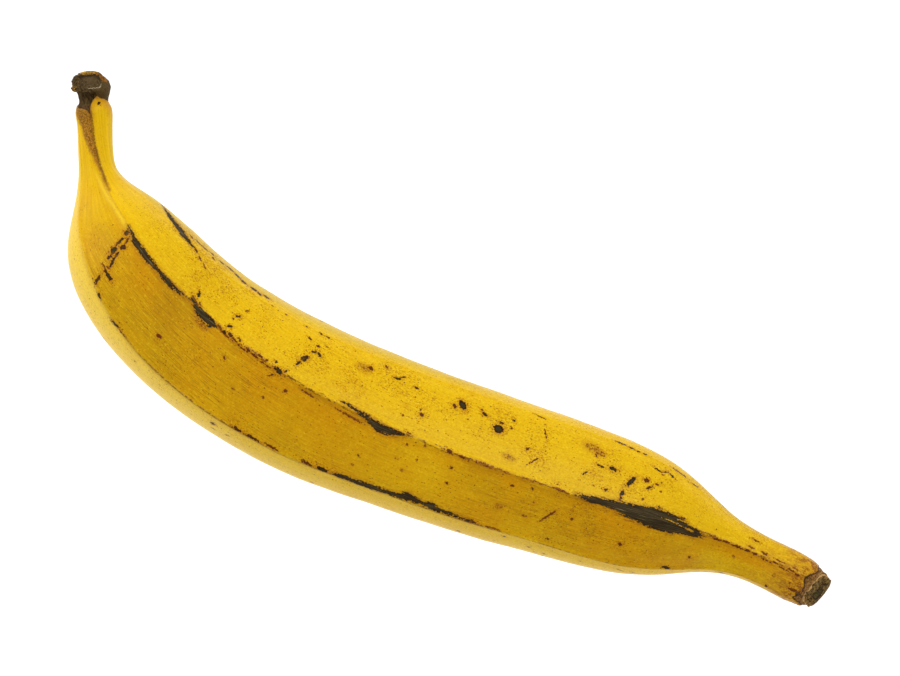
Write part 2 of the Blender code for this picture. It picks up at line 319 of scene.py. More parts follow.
# Small marks: along, around, half length, half width, tilt in degrees, and age from 0, a tan stain, by
# way of 0.5, red-brown, to 1, black.
MARKS = (
    # Short slashes across the shoulder, between the top ridge and the belly's upper ridge.
    (55.0, 1.0, 0.8, 0.8, 0, 1.0),
    (56.3, 4.0, 2.0, 0.4, 72, 0.9),
    (57.8, 7.0, 1.6, 0.7, 65, 1.0),
    (58.8, 9.2, 0.9, 0.4, 70, 0.7),
    (57.4, 2.2, 1.3, 0.3, 62, 0.6),
    (58.6, 4.3, 0.9, 0.8, 60, 0.7),
    (59.6, 7.2, 1.0, 0.4, 68, 0.8),
    (60.6, 9.6, 1.6, 0.4, 66, 0.8),
    (61.2, 11.6, 0.5, 0.4, 0, 0.5),
    (61.2, 12.6, 1.6, 0.25, 12, 0.6),
    (63.0, 13.1, 1.9, 0.55, 8, 0.8),
    (62.0, 16.4, 1.9, 0.35, 72, 0.7),
    (65.5, 19.4, 0.8, 0.65, 20, 0.9),
    (73.2, 21.8, 1.5, 0.55, -10, 0.9),
    (76.0, 22.0, 1.2, 0.35, 0, 0.6),
    # Along and above the top ridge, from the shoulder on.
    (85.0, -3.4, 1.3, 0.4, 60, 1.0),
    (84.6, -1.4, 0.9, 0.3, 25, 0.9),
    (86.2, -0.9, 1.1, 0.22, 20, 0.8),
    (87.3, -1.3, 0.7, 0.2, 15, 0.7),
    (96.8, 0.2, 0.8, 0.3, 0, 0.7),
    (91.5, 3.2, 2.6, 0.7, 8, 0.15),
    (99.6, 0.9, 2.4, 0.22, 3, 0.55),
    (102.6, 0.3, 1.8, 0.2, 4, 0.6),
    (106.2, 0.9, 2.0, 0.2, 0, 0.5),
    (110.4, 0.5, 1.8, 0.22, 3, 0.55),
    (115.0, 0.8, 1.9, 0.2, 0, 0.5),
    (98.6, 0.5, 0.9, 0.4, 10, 0.8),
    (99.0, -2.0, 0.9, 0.4, -30, 0.8),
    (100.8, 0.0, 0.9, 0.35, 15, 0.7),
    (99.0, -6.4, 0.8, 0.4, -18, 0.7),
    (100.0, -10.0, 0.6, 0.25, -30, 0.6),
    (98.2, -4.8, 0.3, 0.2, 0, 0.5),
    (104.2, -0.5, 0.8, 0.28, 20, 0.7),
    (108.0, 0.3, 0.8, 0.28, 10, 0.6),
    (112.0, -0.4, 0.9, 0.3, 12, 0.6),
    (114.4, -0.4, 0.5, 0.25, 0, 0.6),
    (117.0, -1.7, 0.35, 0.3, 0, 0.8),
    (117.8, 2.4, 0.7, 0.25, -50, 0.6),
    (119.2, 0.3, 1.5, 0.6, 8, 0.9),
    (121.0, -0.8, 0.7, 0.3, -60, 0.9),
    (123.2, -5.2, 1.3, 0.35, -72, 1.0),
    (124.2, -7.6, 1.5, 0.8, -50, 1.0),
    (125.8, -11.2, 1.1, 0.35, -30, 1.0),
    (127.6, -11.4, 0.9, 0.4, 30, 1.0),
    (122.3, -14.6, 0.8, 0.25, 12, 0.6),
    (126.0, -13.7, 0.7, 0.3, 0, 0.6),
    (128.2, -15.3, 0.7, 0.2, 20, 0.5),
    (124.6, -18.9, 0.6, 0.35, 15, 0.8),
    (127.2, -18.9, 0.7, 0.25, 10, 0.6),
    (105.0, -18.0, 0.4, 0.25, 0, 0.5),
    (111.0, -18.0, 0.45, 0.3, 0, 0.5),
    (119.0, -18.4, 0.4, 0.3, 0, 0.6),
    (130.0, 1.6, 2.6, 0.25, 2, 0.45),
    (143.5, 1.9, 4.5, 0.35, 4, 0.4),
    (161.6, -0.6, 0.9, 0.2, 10, 0.5),
    (167.0, 1.1, 0.4, 0.3, 0, 0.4),
    (174.0, -0.1, 1.1, 0.45, 12, 0.6),
    (178.0, 0.2, 1.2, 0.3, 8, 0.5),
    (184.5, 0.1, 2.4, 0.35, 3, 0.35),
    (191.0, 0.1, 2.2, 0.3, 0, 0.35),
    (199.0, 0.0, 2.6, 0.28, 0, 0.3),
    (207.5, -0.2, 2.6, 0.3, 0, 0.4),
    # The face between the inner upper ridge and the top ridge.
    (142.0, -14.4, 1.9, 1.1, 10, 0.12),
    (144.0, -15.4, 0.8, 0.6, 20, 0.6),
    (148.2, -18.4, 0.8, 0.3, 40, 0.45),
    (152.6, -16.0, 1.1, 0.4, -15, 0.8),
    (154.0, -17.2, 0.8, 0.25, -30, 0.7),
    (158.8, -15.4, 0.6, 0.3, 0, 0.7),
    (163.0, -7.6, 0.7, 0.55, 0, 0.6),
    (162.2, -9.1, 0.35, 0.25, 0, 0.4),
    (158.0, -5.2, 0.3, 0.2, 0, 0.5),
    (171.0, -14.4, 0.75, 0.6, 30, 0.6),
    (173.2, -15.7, 1.6, 0.95, 50, 1.0),
    (179.0, -16.6, 0.5, 0.3, 20, 0.6),
    (180.2, -15.3, 0.8, 0.45, 20, 0.9),
    (185.4, -12.2, 1.5, 1.35, 0, 1.0),
    (185.6, -14.6, 0.9, 0.4, 0, 0.7),
    (176.0, -11.8, 0.25, 0.2, 0, 0.4),
    (189.0, -16.8, 0.45, 0.3, 20, 0.8),
    (189.0, -13.8, 0.3, 0.25, 0, 0.6),
    (190.6, -4.6, 1.7, 0.7, 12, 0.18),
    (195.2, -9.0, 0.4, 0.3, -40, 0.6),
    (196.0, -21.6, 1.5, 0.14, 10, 0.5),
    (198.0, -19.2, 0.25, 0.2, 0, 0.6),
    (199.0, -15.8, 1.5, 0.16, 66, 0.6),
    (198.0, -6.2, 2.0, 0.17, -48, 0.7),
    (213.4, -7.6, 0.8, 0.17, -50, 0.8),
    (213.4, -16.6, 2.4, 1.2, 10, 0.2),
    (216.4, -15.6, 1.4, 0.8, 10, 0.25),
    (215.2, -14.4, 0.9, 0.18, 60, 0.6),
    (217.6, -11.4, 1.4, 0.25, 6, 0.8),
    (221.4, -11.9, 1.3, 0.55, 8, 1.0),
    (217.2, -4.9, 0.2, 0.15, 0, 0.5),
    (221.2, -4.8, 0.6, 0.3, -20, 0.7),
    (227.6, -9.8, 2.0, 0.7, -64, 1.0),
    (226.0, -5.2, 0.9, 0.55, -70, 1.0),
    (226.0, -3.5, 0.6, 0.35, 90, 0.9),
    (231.8, -11.6, 0.9, 0.6, 10, 0.6),
    (233.2, -9.4, 1.1, 0.4, -36, 0.7),
    (235.0, -11.2, 0.6, 0.25, 0, 0.5),
    (232.4, -5.4, 0.25, 0.2, 0, 0.7),
    (236.8, -9.2, 0.3, 0.2, 0, 0.4),
    (237.8, -4.1, 0.6, 0.25, 10, 0.9),
    (245.2, -2.6, 0.8, 0.3, 10, 0.9),
    (234.0, -16.5, 1.3, 0.22, 22, 0.8),
    (236.6, -16.5, 0.8, 0.2, -30, 0.7),
    (238.6, -15.8, 1.3, 0.22, 38, 0.8),
    (236.0, -15.1, 0.4, 0.15, 0, 0.4),
    # The inner upper ridge.
    (72.5, -14.4, 1.0, 0.35, 30, 0.6),
    (75.5, -13.2, 1.1, 0.3, 30, 0.5),
    (79.0, -12.0, 1.3, 0.22, 25, 0.4),
    (66.5, -18.2, 1.4, 0.3, 8, 0.55),
    (70.0, -19.0, 1.5, 0.35, 4, 0.6),
    (73.2, -19.3, 1.3, 0.4, 0, 0.6),
    (76.2, -20.2, 1.2, 0.4, 0, 0.6),
    (78.0, -18.2, 0.9, 0.3, 20, 0.5),
    (81.0, -20.1, 1.2, 0.45, 0, 0.7),
    (84.6, -21.0, 1.8, 0.5, 0, 0.85),
    (88.4, -20.4, 1.5, 0.45, 6, 0.8),
    (91.6, -19.8, 1.4, 0.6, 4, 0.65),
    (96.0, -20.0, 1.3, 0.7, 0, 0.95),
    (98.6, -19.7, 0.8, 0.5, 20, 0.8),
    (101.2, -20.6, 1.5, 0.5, 4, 0.7),
    (221.4, -22.6, 1.8, 0.42, 6, 1.0),
    (224.8, -21.9, 0.9, 0.4, 10, 0.9),
    (227.2, -21.2, 0.5, 0.3, 0, 0.7),
    (229.2, -21.2, 0.7, 0.4, 0, 0.9),
    (240.6, -19.0, 2.6, 0.4, 24, 0.5),
    (246.0, -15.8, 1.0, 0.35, 20, 0.6),
    # The face between the top ridge and the belly's upper ridge.
    (84.0, 14.4, 0.7, 0.6, 0, 0.5),
    (103.0, 6.4, 0.45, 0.4, 0, 0.5),
    (109.5, 12.5, 0.5, 0.35, 0, 0.3),
    (118.4, 9.5, 0.3, 0.3, 0, 0.4),
    (123.5, 4.2, 0.5, 0.45, 0, 0.45),
    (149.8, 11.8, 0.3, 0.3, 0, 0.5),
    (149.0, 15.4, 0.35, 0.3, 0, 0.3),
    (162.0, 2.8, 0.4, 0.35, 0, 0.4),
    (163.0, 10.8, 0.4, 0.35, 0, 0.3),
    (166.0, 6.0, 0.3, 0.25, 0, 0.3),
    (176.0, 4.4, 0.4, 0.35, 0, 0.45),
    (176.0, 9.4, 0.4, 0.35, 0, 0.5),
    (192.0, 11.0, 1.0, 0.8, 0, 0.12),
    (194.0, 3.4, 0.45, 0.35, 0, 0.5),
    (199.6, 11.2, 0.4, 0.35, 0, 0.35),
    (200.0, 2.2, 0.3, 0.3, 0, 0.7),
    (207.0, 8.6, 3.2, 0.24, -52, 0.45),
    (214.0, 7.2, 0.45, 0.4, 0, 0.45),
    (230.2, 10.4, 0.6, 0.5, 10, 0.5),
    (251.0, 8.7, 0.4, 0.35, 0, 0.6),
    (263.5, 3.6, 0.45, 0.35, 0, 0.3),
    (276.8, 3.8, 0.4, 0.4, 0, 0.3),
    # The belly's upper ridge, and below it.
    (115.5, 22.6, 1.5, 0.4, 0, 0.7),
    (120.5, 22.4, 2.2, 0.35, 0, 0.7),
    (126.0, 21.9, 1.9, 0.3, 0, 0.5),
    (136.6, 21.2, 1.5, 0.4, 0, 0.6),
    (141.4, 21.0, 1.8, 0.55, 0, 0.9),
    (186.0, 18.6, 1.6, 0.35, 0, 0.7),
    (192.0, 18.6, 1.8, 0.25, 0, 0.4),
    (196.0, 21.8, 0.35, 0.3, 0, 0.7),
    (204.0, 24.2, 0.35, 0.3, 0, 0.6),
    (209.2, 26.0, 0.4, 0.35, 0, 0.9),
    (209.0, 16.4, 0.35, 0.3, 0, 0.6),
    (233.0, 22.0, 1.2, 0.14, 30, 0.4),
    (237.0, 22.4, 1.2, 0.14, 30, 0.4),
    (245.4, 14.4, 1.2, 0.45, 0, 1.0),
    (262.0, 11.5, 0.9, 0.35, 0, 1.0),
    (276.5, 8.4, 0.6, 0.35, 50, 0.6),
    # Stalk and tip.
    (8.0, -3.0, 0.42, 0.40, 0, 0.9),
    (256.0, 0.3, 1.3, 0.25, 0, 0.55),
    (259.4, 0.1, 1.2, 0.2, 0, 0.5),
    (263.2, 0.2, 1.5, 0.25, 0, 0.5),
    (266.6, 0.1, 0.9, 0.3, 4, 0.6),
    (268.9, 0.2, 1.0, 0.25, 0, 0.5),
    (267.6, -4.2, 1.2, 0.3, 8, 0.6),
    (267.0, -1.2, 1.2, 0.3, 8, 0.4),
    (271.4, -1.2, 1.2, 0.35, 8, 0.45),
    (272.9, 0.7, 1.2, 0.2, 2, 0.6),
    (275.6, 0.2, 1.5, 0.18, 3, 0.5),
    (278.2, 0.8, 1.3, 0.2, 2, 0.55),
    (280.6, 0.2, 1.4, 0.18, 4, 0.5),
    (276.4, -0.9, 1.5, 0.15, 2, 0.5),
    (281.6, -0.8, 1.2, 0.15, 4, 0.45),
    (284.2, 5.3, 1.6, 0.5, 0, 0.45),
    (286.6, 5.6, 1.3, 0.8, 0, 0.85),
    (283.0, 4.2, 1.0, 0.4, 10, 0.3),
    (283.0, 0.6, 0.8, 0.35, 0, 0.5),
)


FAR = 6.0  # millimetres from a bruise's line past which its depth isn't worked out
MARK_SIZES = (0.3, 0.5, 0.9)  # half widths that part small marks from large, which are less frayed
AGE_STEP = 2.0  # added to a mark's age for each of these sizes that it passes
MARK_SPREAD = 0.09  # added to a mark's half length and half width, for what its torn edge loses
MARK_MARGIN = 1.7  # millimetres past a mark's edge within which points know of it
GRAIN_RADIUS = 23.0  # the fibres run as on a cylinder of this radius, so they draw together at the ends

# ---------------------------------------------------------------------------------------------------------
# Curves through the tables.


def spline(table, x):
    """The natural cubic spline from the first column of table to its other columns, at each of x."""
    rows = np.array(table, float)
    at, values = rows[:, 0], rows[:, 1:]
    gap = np.diff(at)
    count = len(at)
    system = np.eye(count)
    slopes = np.zeros_like(values)
    for i in range(1, count - 1):
        system[i, i - 1 : i + 2] = gap[i - 1], 2 * (gap[i - 1] + gap[i]), gap[i]
        slopes[i] = 6 * ((values[i + 1] - values[i]) / gap[i] - (values[i] - values[i - 1]) / gap[i - 1])
    bend = np.linalg.solve(system, slopes)
    i = np.clip(np.searchsorted(at, x) - 1, 0, count - 2)
    h = gap[i][:, None]
    before = at[i + 1][:, None] - x[:, None]
    after = x[:, None] - at[i][:, None]
    return (
        (bend[i] * before**3 + bend[i + 1] * after**3) / (6 * h)
        + (values[i] / h - bend[i] * h / 6) * before
        + (values[i + 1] / h - bend[i + 1] * h / 6) * after
    )


def ease(low, high, x):
    """0 up to low, 1 from high, and eased in between."""
    share = np.clip((x - low) / (high - low), 0, 1)
    return share * share * (3 - 2 * share)


def eased_steps(table, x):
    """Level at each row of table and eased in between."""
    value = np.full_like(x, table[0][1])
    for (start, low), (end, high) in zip(table, table[1:]):
        value += (high - low) * ease(start, end, x)
    return value


def between(rise, full, fall, gone, x):
    """0 up to rise, 1 from full to fall, 0 again from gone, and eased in between."""
    return ease(rise, full, x) * (1 - ease(fall, gone, x))


def bump(x, width):
    """1 at 0, falling away on both sides."""
    return np.exp(-((x / width) ** 2))


def rough(points, size, seed=0.0):
    """Smooth random heights from -1 to 1 at each point, whose hills are about size across."""
    shift = Vector((seed, 2.7 * seed, -1.3 * seed))
    flat = points.reshape(-1, 3) / size
    return np.array([noise.noise(Vector(p) + shift) for p in flat]).reshape(points.shape[:-1])


# ---------------------------------------------------------------------------------------------------------
# The fruit's surface.


def ring_stations():
    stations = [np.zeros(1)]
    for start, end, count in RING_RUNS:
        stations.append(start + (end - start) * np.arange(1, count + 1) / count)
    return np.concatenate(stations)


def column_turns():
    return np.concatenate([face + np.arange(count) / count for face, count in enumerate(COLUMNS)])


def directions(along):
    """Unit vectors along the middle line, towards the tip."""
    reach = 0.5
    before = spline(MIDDLE_LINE, np.maximum(0, along - reach))
    after = spline(MIDDLE_LINE, np.minimum(AXIS_LENGTH, along + reach))
    flat = after - before
    flat /= np.linalg.norm(flat, axis=1)[:, None]
    return np.column_stack([flat, np.zeros(len(along))])


def outlines(along, turns):
    """(towards the belly, up) of each column at each ring. A section is as wide as HALF_WIDTH says, centred
    on the middle line, and its lowest point is at 0."""
    angles = np.radians(np.column_stack([spline(rows, along)[:, 0] for rows in RIDGES.values()]))
    angles = np.column_stack([angles, angles[:, 0] + 2 * math.pi])
    face = turns.astype(int)
    across = turns - face
    start = angles[:, face]
    width = angles[:, face + 1] - start
    flat = np.cos(width / 2) / np.cos((across - 0.5) * width)
    bulge = np.array(FACE_BULGE)[face]
    bulge = bulge + (1 - bulge) * eased_steps(END_ROUNDNESS, along)[:, None]
    radius = flat + bulge * (1 - flat)
    angle = start + across * width
    side, up = radius * np.sin(angle), radius * np.cos(angle)
    size = 2 * spline(HALF_WIDTH, along) / np.ptp(side, axis=1)[:, None]
    side -= (side.min(1) + side.max(1))[:, None] / 2
    up -= up.min(1)[:, None]
    return side * size, up * size


def slope_shift(along, side, up):
    """How far each point moves along the fruit because the nearer end's cut is oblique."""
    near_stalk = (along < AXIS_LENGTH / 2)[:, None]
    from_end = np.minimum(along, AXIS_LENGTH - along)[:, None]
    share = np.maximum(0, 1 - from_end / SLOPE_REACH) ** 2
    stalk = STALK_CUT_SLOPE[0] * side + STALK_CUT_SLOPE[1] * up
    tip = TIP_SCAR_SLOPE[0] * side + TIP_SCAR_SLOPE[1] * up
    scoop = np.where(near_stalk, CUT_SCOOP * ease(-1.0, 4.5, up), -SCAR_SCOOP * ease(-2.0, 3.0, up))
    return share * np.where(near_stalk, stalk, tip) + scoop * np.maximum(0, 1 - from_end / SCOOP_REACH) ** 2


def smooth_surface(along, turns):
    """The fruit without its relief: points by ring and column, and the middle of each ring."""
    forward = directions(along)
    to_belly = np.column_stack([forward[:, 1], -forward[:, 0], forward[:, 2]])
    side, up = outlines(along, turns)
    height = up.max(1) / 2
    base = np.column_stack([spline(MIDDLE_LINE, along), spline(UNDERSIDE_LIFT, along)[:, 0] - RESTING_PRESS])
    shift = slope_shift(along, side, up - height[:, None])
    points = base[:, None] + to_belly[:, None] * side[..., None] + forward[:, None] * shift[..., None]
    points[..., 2] += up
    middle = base + np.column_stack([np.zeros((len(along), 2)), height])
    return points, middle


def outward(points):
    """Unit normals of a grid of points by ring and column, which closes on itself around."""
    lengthwise = np.gradient(points, axis=0)
    around = np.roll(points, -1, 1) - np.roll(points, 1, 1)
    normals = np.cross(around, lengthwise)
    normals /= np.linalg.norm(normals, axis=2)[..., None]
    if (normals * (points - points.mean(1)[:, None])).sum() < 0:
        normals = -normals
    return normals


def shorter_way(distance, girth):
    """The shorter way round for each distance around a fruit of this girth."""
    return (distance + girth / 2) % girth - girth / 2


class Places:
    """Where each point of the wall's grid lies on the fruit, in millimetres, by ring and column."""

    def __init__(self, along, turns, points):
        shape = points.shape[:2]
        self.along = np.broadcast_to(along[:, None], shape)
        self.turns = np.broadcast_to(turns, shape)
        self.points = points
        steps = np.linalg.norm(np.roll(points, -1, 1) - points, axis=2)
        run = np.cumsum(steps, 1)
        self.girth = np.broadcast_to(run[:, -1:], shape)
        start = run - steps
        self.around = shorter_way(start - start[:, TOP_COLUMN : TOP_COLUMN + 1], self.girth)
        past = {}
        for face, ridge in enumerate(RIDGES):
            column = sum(COLUMNS[:face])
            past[ridge] = shorter_way(self.around - self.around[:, column : column + 1], self.girth)
        self.to_inner = np.minimum(np.abs(past["inner_upper"]), np.abs(past["inner_lower"]))
        top, belly = past["top"], past["belly_upper"]
        self.to_sharp = np.minimum(np.abs(top), np.abs(belly))
        # Wear along the belly's ridge keeps to a narrower line, most of all near the tip.
        narrowing = 1.7 + 3 * ease(185, 205, self.along)
        self.past_sharp = np.where(np.abs(top) < np.abs(belly), top, belly * narrowing)

    def from_mark(self, along, around):
        """(along, around) of each point from a mark."""
        return self.along - along, shorter_way(self.around - around, self.girth)

    def edge(self, table, seed):
        """How far each point lies before a peel edge given by turn and distance along."""
        rows = np.array(table, float)
        edge = np.interp(self.turns, rows[:, 0], rows[:, 1])
        return edge + 0.35 * rough(self.points, 1.1, seed) - self.along

    def inside(self, lines):
        """How far inside the nearest line each point lies, negative outside. Each line is a list of along,
        around and half width."""
        depth = np.full(self.along.shape, -FAR)
        for line in lines:
            for (s0, a0, w0), (s1, a1, w1) in zip(line, line[1:]):
                near = (self.along[:, 0] > s0 - FAR) & (self.along[:, 0] < s1 + FAR)
                p = self.along[near] - s0
                q = shorter_way(self.around[near] - a0, self.girth[near])
                ds, da = s1 - s0, a1 - a0
                share = np.clip((p * ds + q * da) / (ds * ds + da * da), 0, 1)
                away = np.hypot(p - share * ds, q - share * da)
                depth[near] = np.maximum(depth[near], w0 + share * (w1 - w0) - away)
        return depth


def stem_fold(places):
    """How deep the fold beside the stem's ridge is at each point, from 0 to 1."""
    rows = np.array(STEM_FOLD)
    centre = np.interp(places.along, rows[:, 0], rows[:, 1])
    return bump(places.around - centre, 0.55) * between(8, 12, 31, 40, places.along)


def past_crest(places):
    """How far around the fruit each point lies past the crest up the shoulder."""
    return places.around - np.interp(places.along, *np.transpose(CREST))


def side_share(places, turn):
    """1 on the side of the fruit that faces this turn, falling to 0 a quarter of the way round."""
    return np.maximum(0, np.cos((places.turns - turn) * 2 * math.pi / len(COLUMNS)))


def relief(places, fields):
    """How far each point of the wall stands out from the smooth fruit, in millimetres."""
    along, around, points = places.along, places.around, places.points
    body = between(*SHOULDER, *NECK, along)
    stem = 1 - ease(*SHOULDER, along)
    lumps = 0.34 * rough(points, 26, 1) + 0.13 * rough(points, 9, 2) + 0.035 * rough(points, 3.2, 3)
    lumps *= 0.25 + 0.75 * body
    uneven = 0.75 + 0.5 * rough(points, 7, 4)
    crest = 0.20 * bump(places.to_sharp, 0.75) - 0.10 * bump(places.to_sharp - 2.3, 1.2)
    height = lumps + (crest * uneven - 0.55 * bump(places.to_inner, 2.7)) * body
    # The stem: a raised crest on the top ridge up to the shoulder, the fold beside it, and shallow flutes.
    past = past_crest(places)
    height += (0.50 * bump(past, 0.62) - 0.26 * bump(past + 1.25, 0.6)) * between(27, 33, 50, 60, along)
    height -= 0.42 * stem_fold(places)
    flutes = np.sin(14 * math.pi * around / places.girth + 2.0 * rough(points, 18, 5))
    height += 0.10 * flutes * stem * ease(10, 16, along)
    # Bruises have sunk, and the dried ends have shrunk back from the peel's edge and wrinkled.
    height -= 0.16 * ease(-0.1, 0.7, fields["bruise"])
    height -= 0.05 * ease(-0.5, 0.6, fields["patch"])
    height -= 0.50 * ease(-0.45, 0.35, fields["stalk_dry"])
    height += 0.10 * (rough(points, 1.3, 6) * ease(266, 284, along))
    height -= 0.42 * bump(fields["tip_dry"] - 0.15, 0.36)
    height -= 0.22 * ease(0.2, 1.0, fields["tip_dry"])
    rim = bump(along - 290.2, 0.35) + 1.1 * bump(along - 291.8, 0.35)
    height += 0.30 * rim * uneven
    # The crown of the stalk leans and is torn, most of all towards the belly, and so is the tip's rim.
    to_inner, to_belly = side_share(places, 4.6), side_share(places, 2.37)
    height += to_inner * np.interp(along, *np.transpose(CROWN_INNER))
    height += to_belly * np.interp(along, *np.transpose(CROWN_BELLY))
    crown = 1 - ease(2.6, 4.0, along)
    height += crown * (0.25 + 0.75 * to_belly) * (0.8 * rough(points, 1.3, 7) + 0.45 * rough(points, 0.6, 8))
    height += 0.6 * bump(along - 288.4, 1.2) * side_share(places, 2.7) * (0.6 + 1.2 * rough(points, 1.0, 20))
    ragged = ease(289.6, 291.4, along) * (0.5 + 0.5 * side_share(places, 2.4))
    height += ragged * (0.8 * rough(points, 1.1, 9) + 0.4 * rough(points, 0.5, 10))
    return height


def oval(side, up, centre_side, centre_up, half_side, half_up):
    """How far out from an oval's centre each point lies: 1 on the oval."""
    return np.hypot((side - centre_side) / half_side, (up - centre_up) / half_up)


def blank(rings):
    """A cylinder of radius 1 from Z 0 to 1, its wall cut into rings and its caps into CAP_RINGS insets."""
    bm = bmesh.new()
    around = sum(COLUMNS)
    bmesh.ops.create_cone(bm, cap_ends=True, segments=around, radius1=1, radius2=1, depth=1)
    bmesh.ops.translate(bm, vec=(0, 0, 0.5), verts=bm.verts)
    caps = [f for f in bm.faces if len(f.verts) == around]
    wall = [e for e in bm.edges if e.verts[0].co.z != e.verts[1].co.z]
    for _ in range(CAP_RINGS):
        bmesh.ops.inset_individual(bm, faces=caps, thickness=1 / (CAP_RINGS + 1))
    bmesh.ops.poke(bm, faces=caps)
    bmesh.ops.subdivide_edges(bm, edges=wall, cuts=rings - 2, use_grid_fill=True)
    return bm


def fields_of(places):
    """What the finish needs to know at each point of the wall."""
    along, around, points = places.along, places.around, places.points
    fields = {
        "bruise": places.inside(BRUISES),
        "patch": places.inside([STEM_PATCH]),
        "stalk_dry": places.edge(STALK_PEEL_EDGE, 11),
        "tip_dry": -places.edge(TIP_PEEL_EDGE, 12),
    }
    # The belly side has ripened to amber, darkest in broad clouds, with painted shade just past the top
    # ridge.
    turns = places.turns
    belly = between(0.97, 1.04, 1.94, 2.06, turns)
    hidden = between(2.1, 3.0, 3.9, 4.8, turns)
    body = ease(34, 70, along)
    clouds = 0.5 + 0.9 * rough(points, 24, 13) + 0.4 * rough(points, 8, 14)
    amber = belly * (0.42 + 0.40 * clouds) * (0.25 + 0.75 * body)
    # Painted shade: a darker band on the belly side just past the top ridge.
    amber += 0.30 * belly * body * bump(around - 1.6, 1.8)
    amber -= 0.55 * belly * ease(250, 258, along) * ease(2.0, 5.0, around)
    amber += 0.35 * hidden * clouds + 0.10 * clouds
    fields["amber"] = amber
    # Specks drift over the upper face and gather in three places, and the belly side has fine hairs.
    upper = between(-23, -16, -9, -3, around)
    drift = 0.5 + 0.9 * rough(points, 19, 15) + 0.5 * rough(points, 6, 16)
    speckle = (0.30 + 0.75 * upper + 0.15 * belly) * drift * ease(30, 70, along)
    speckle += 0.5 * upper * bump(along - 76, 24)
    speckle += 0.8 * bump(along - 226, 16) * bump(around - 8, 6)
    speckle += 1.6 * bump(along - 68, 14) * bump(around + 17, 4.2)
    fields["speckle"] = speckle
    hairs = belly * ease(46, 62, along) * (0.35 + rough(points, 15, 17) + 0.7 * bump(along - 84, 26))
    fields["hairs"] = hairs
    # The shoulder is still a little olive, the underside is painted paler as painted light from the table
    # below, the inside of the bend is painted darker as painted shade, and streaks in the big bruise are
    # still alive.
    shoulder = (turns < 2.05) * (0.65 + 0.5 * rough(points, 12, 19))
    olive = shoulder * (bump(along - 80, 34) + 0.5 * bump(along - 48, 9) * bump(around - 8, 4.5))
    fields["olive"] = olive * (0.25 + 0.75 * belly + 0.25 * bump(along - 78, 22))
    # Painted light: the underside is lightened, less so further along, for light thrown up from the white
    # table.
    below = between(1.97, 2.12, 3.3, 3.8, turns) * (1 - 0.45 * ease(100, 180, along))
    # Painted shade: the faces inside the bend are darkened, by an amount that changes along the fruit.
    inside = between(3.6, 4.2, 4.86, 5.0, turns)
    reach = 1 - 0.7 * ease(165, 195, along) + 0.5 * ease(235, 255, along)
    fields["flesh"] = below - 0.44 * inside * reach
    living = ease(-0.35, 0.35, places.inside(STREAKS) + 0.4 * rough(points, 0.9, 18))
    fields["bruise"] += living * (-0.36 - fields["bruise"])
    # Painted shade in the stem's fold and in the groove beside the shoulder's crest; where negative, a
    # painted highlight on the crest itself.
    past = past_crest(places)
    crease = 0.55 * bump(past + 1.05, 0.42) - 0.5 * bump(past, 0.6)
    fields["fold"] = stem_fold(places) + between(27, 34, 50, 58, along) * crease
    return fields


def hidden_marks(count, seed):
    """Scattered small marks for the sides that face away from the belly and the top."""
    draw = random.Random(seed)
    marks = []
    for _ in range(count):
        around = draw.choice((-1, 1)) * draw.uniform(27, 72)
        size = draw.uniform(0.25, 0.9) ** 1.3
        slim = draw.uniform(0.3, 1.0)
        tilt = draw.choice((0, 0, 10, -20, 60, -60))
        marks.append((draw.uniform(50, 250), around, size, size * slim, tilt, draw.uniform(0.2, 1.0)))
    return marks


def mark_layers(places, marks):
    """The marks sorted into layers in which no two are near each other. Each point near a mark holds its
    place along and across the mark, as shares of its half length and half width, 1, and the mark's age."""
    layers, taken = [], []
    for along, around, half_length, half_width, tilt, age in marks:
        ds, da = places.from_mark(along, around)
        turn = math.radians(tilt)
        p = ds * math.cos(turn) + da * math.sin(turn)
        q = da * math.cos(turn) - ds * math.sin(turn)
        half_length, half_width = half_length + MARK_SPREAD, half_width + MARK_SPREAD
        beyond = np.maximum(np.abs(p) - half_length, np.abs(q) - half_width)
        near, reserved = beyond < MARK_MARGIN, beyond < 2 * MARK_MARGIN
        layer = next((k for k, used in enumerate(taken) if not used[reserved].any()), len(layers))
        if layer == len(layers):
            layers.append(np.zeros((*p.shape, 4), np.float32))
            taken.append(np.zeros(p.shape, bool))
        taken[layer] |= reserved
        step = int(np.searchsorted(MARK_SIZES, half_width))
        packed = np.full_like(p, age + AGE_STEP * step)
        share = np.stack([p / half_length, q / half_width, np.ones_like(p), packed], 2)
        layers[layer][near] = share[near]
    return layers


# ---------------------------------------------------------------------------------------------------------
# Finishes.


class Number:
    """A number on its way to a shader. Python's operators on it add Math nodes."""

    def __init__(self, finish, socket):
        self.finish = finish
        self.socket = socket

    def __add__(self, other):
        return self.finish.math("ADD", self, other)

    __radd__ = __add__

    def __sub__(self, other):
        return self.finish.math("SUBTRACT", self, other)

    def __rsub__(self, other):
        return self.finish.math("SUBTRACT", other, self)

    def __mul__(self, other):
        return self.finish.math("MULTIPLY", self, other)

    __rmul__ = __mul__

    def __truediv__(self, other):
        return self.finish.math("DIVIDE", self, other)

    def __pow__(self, other):
        return self.finish.math("POWER", self, other)

    def __abs__(self):
        return self.finish.math("ABSOLUTE", self)

    def __gt__(self, other):
        return self.finish.math("GREATER_THAN", self, other)


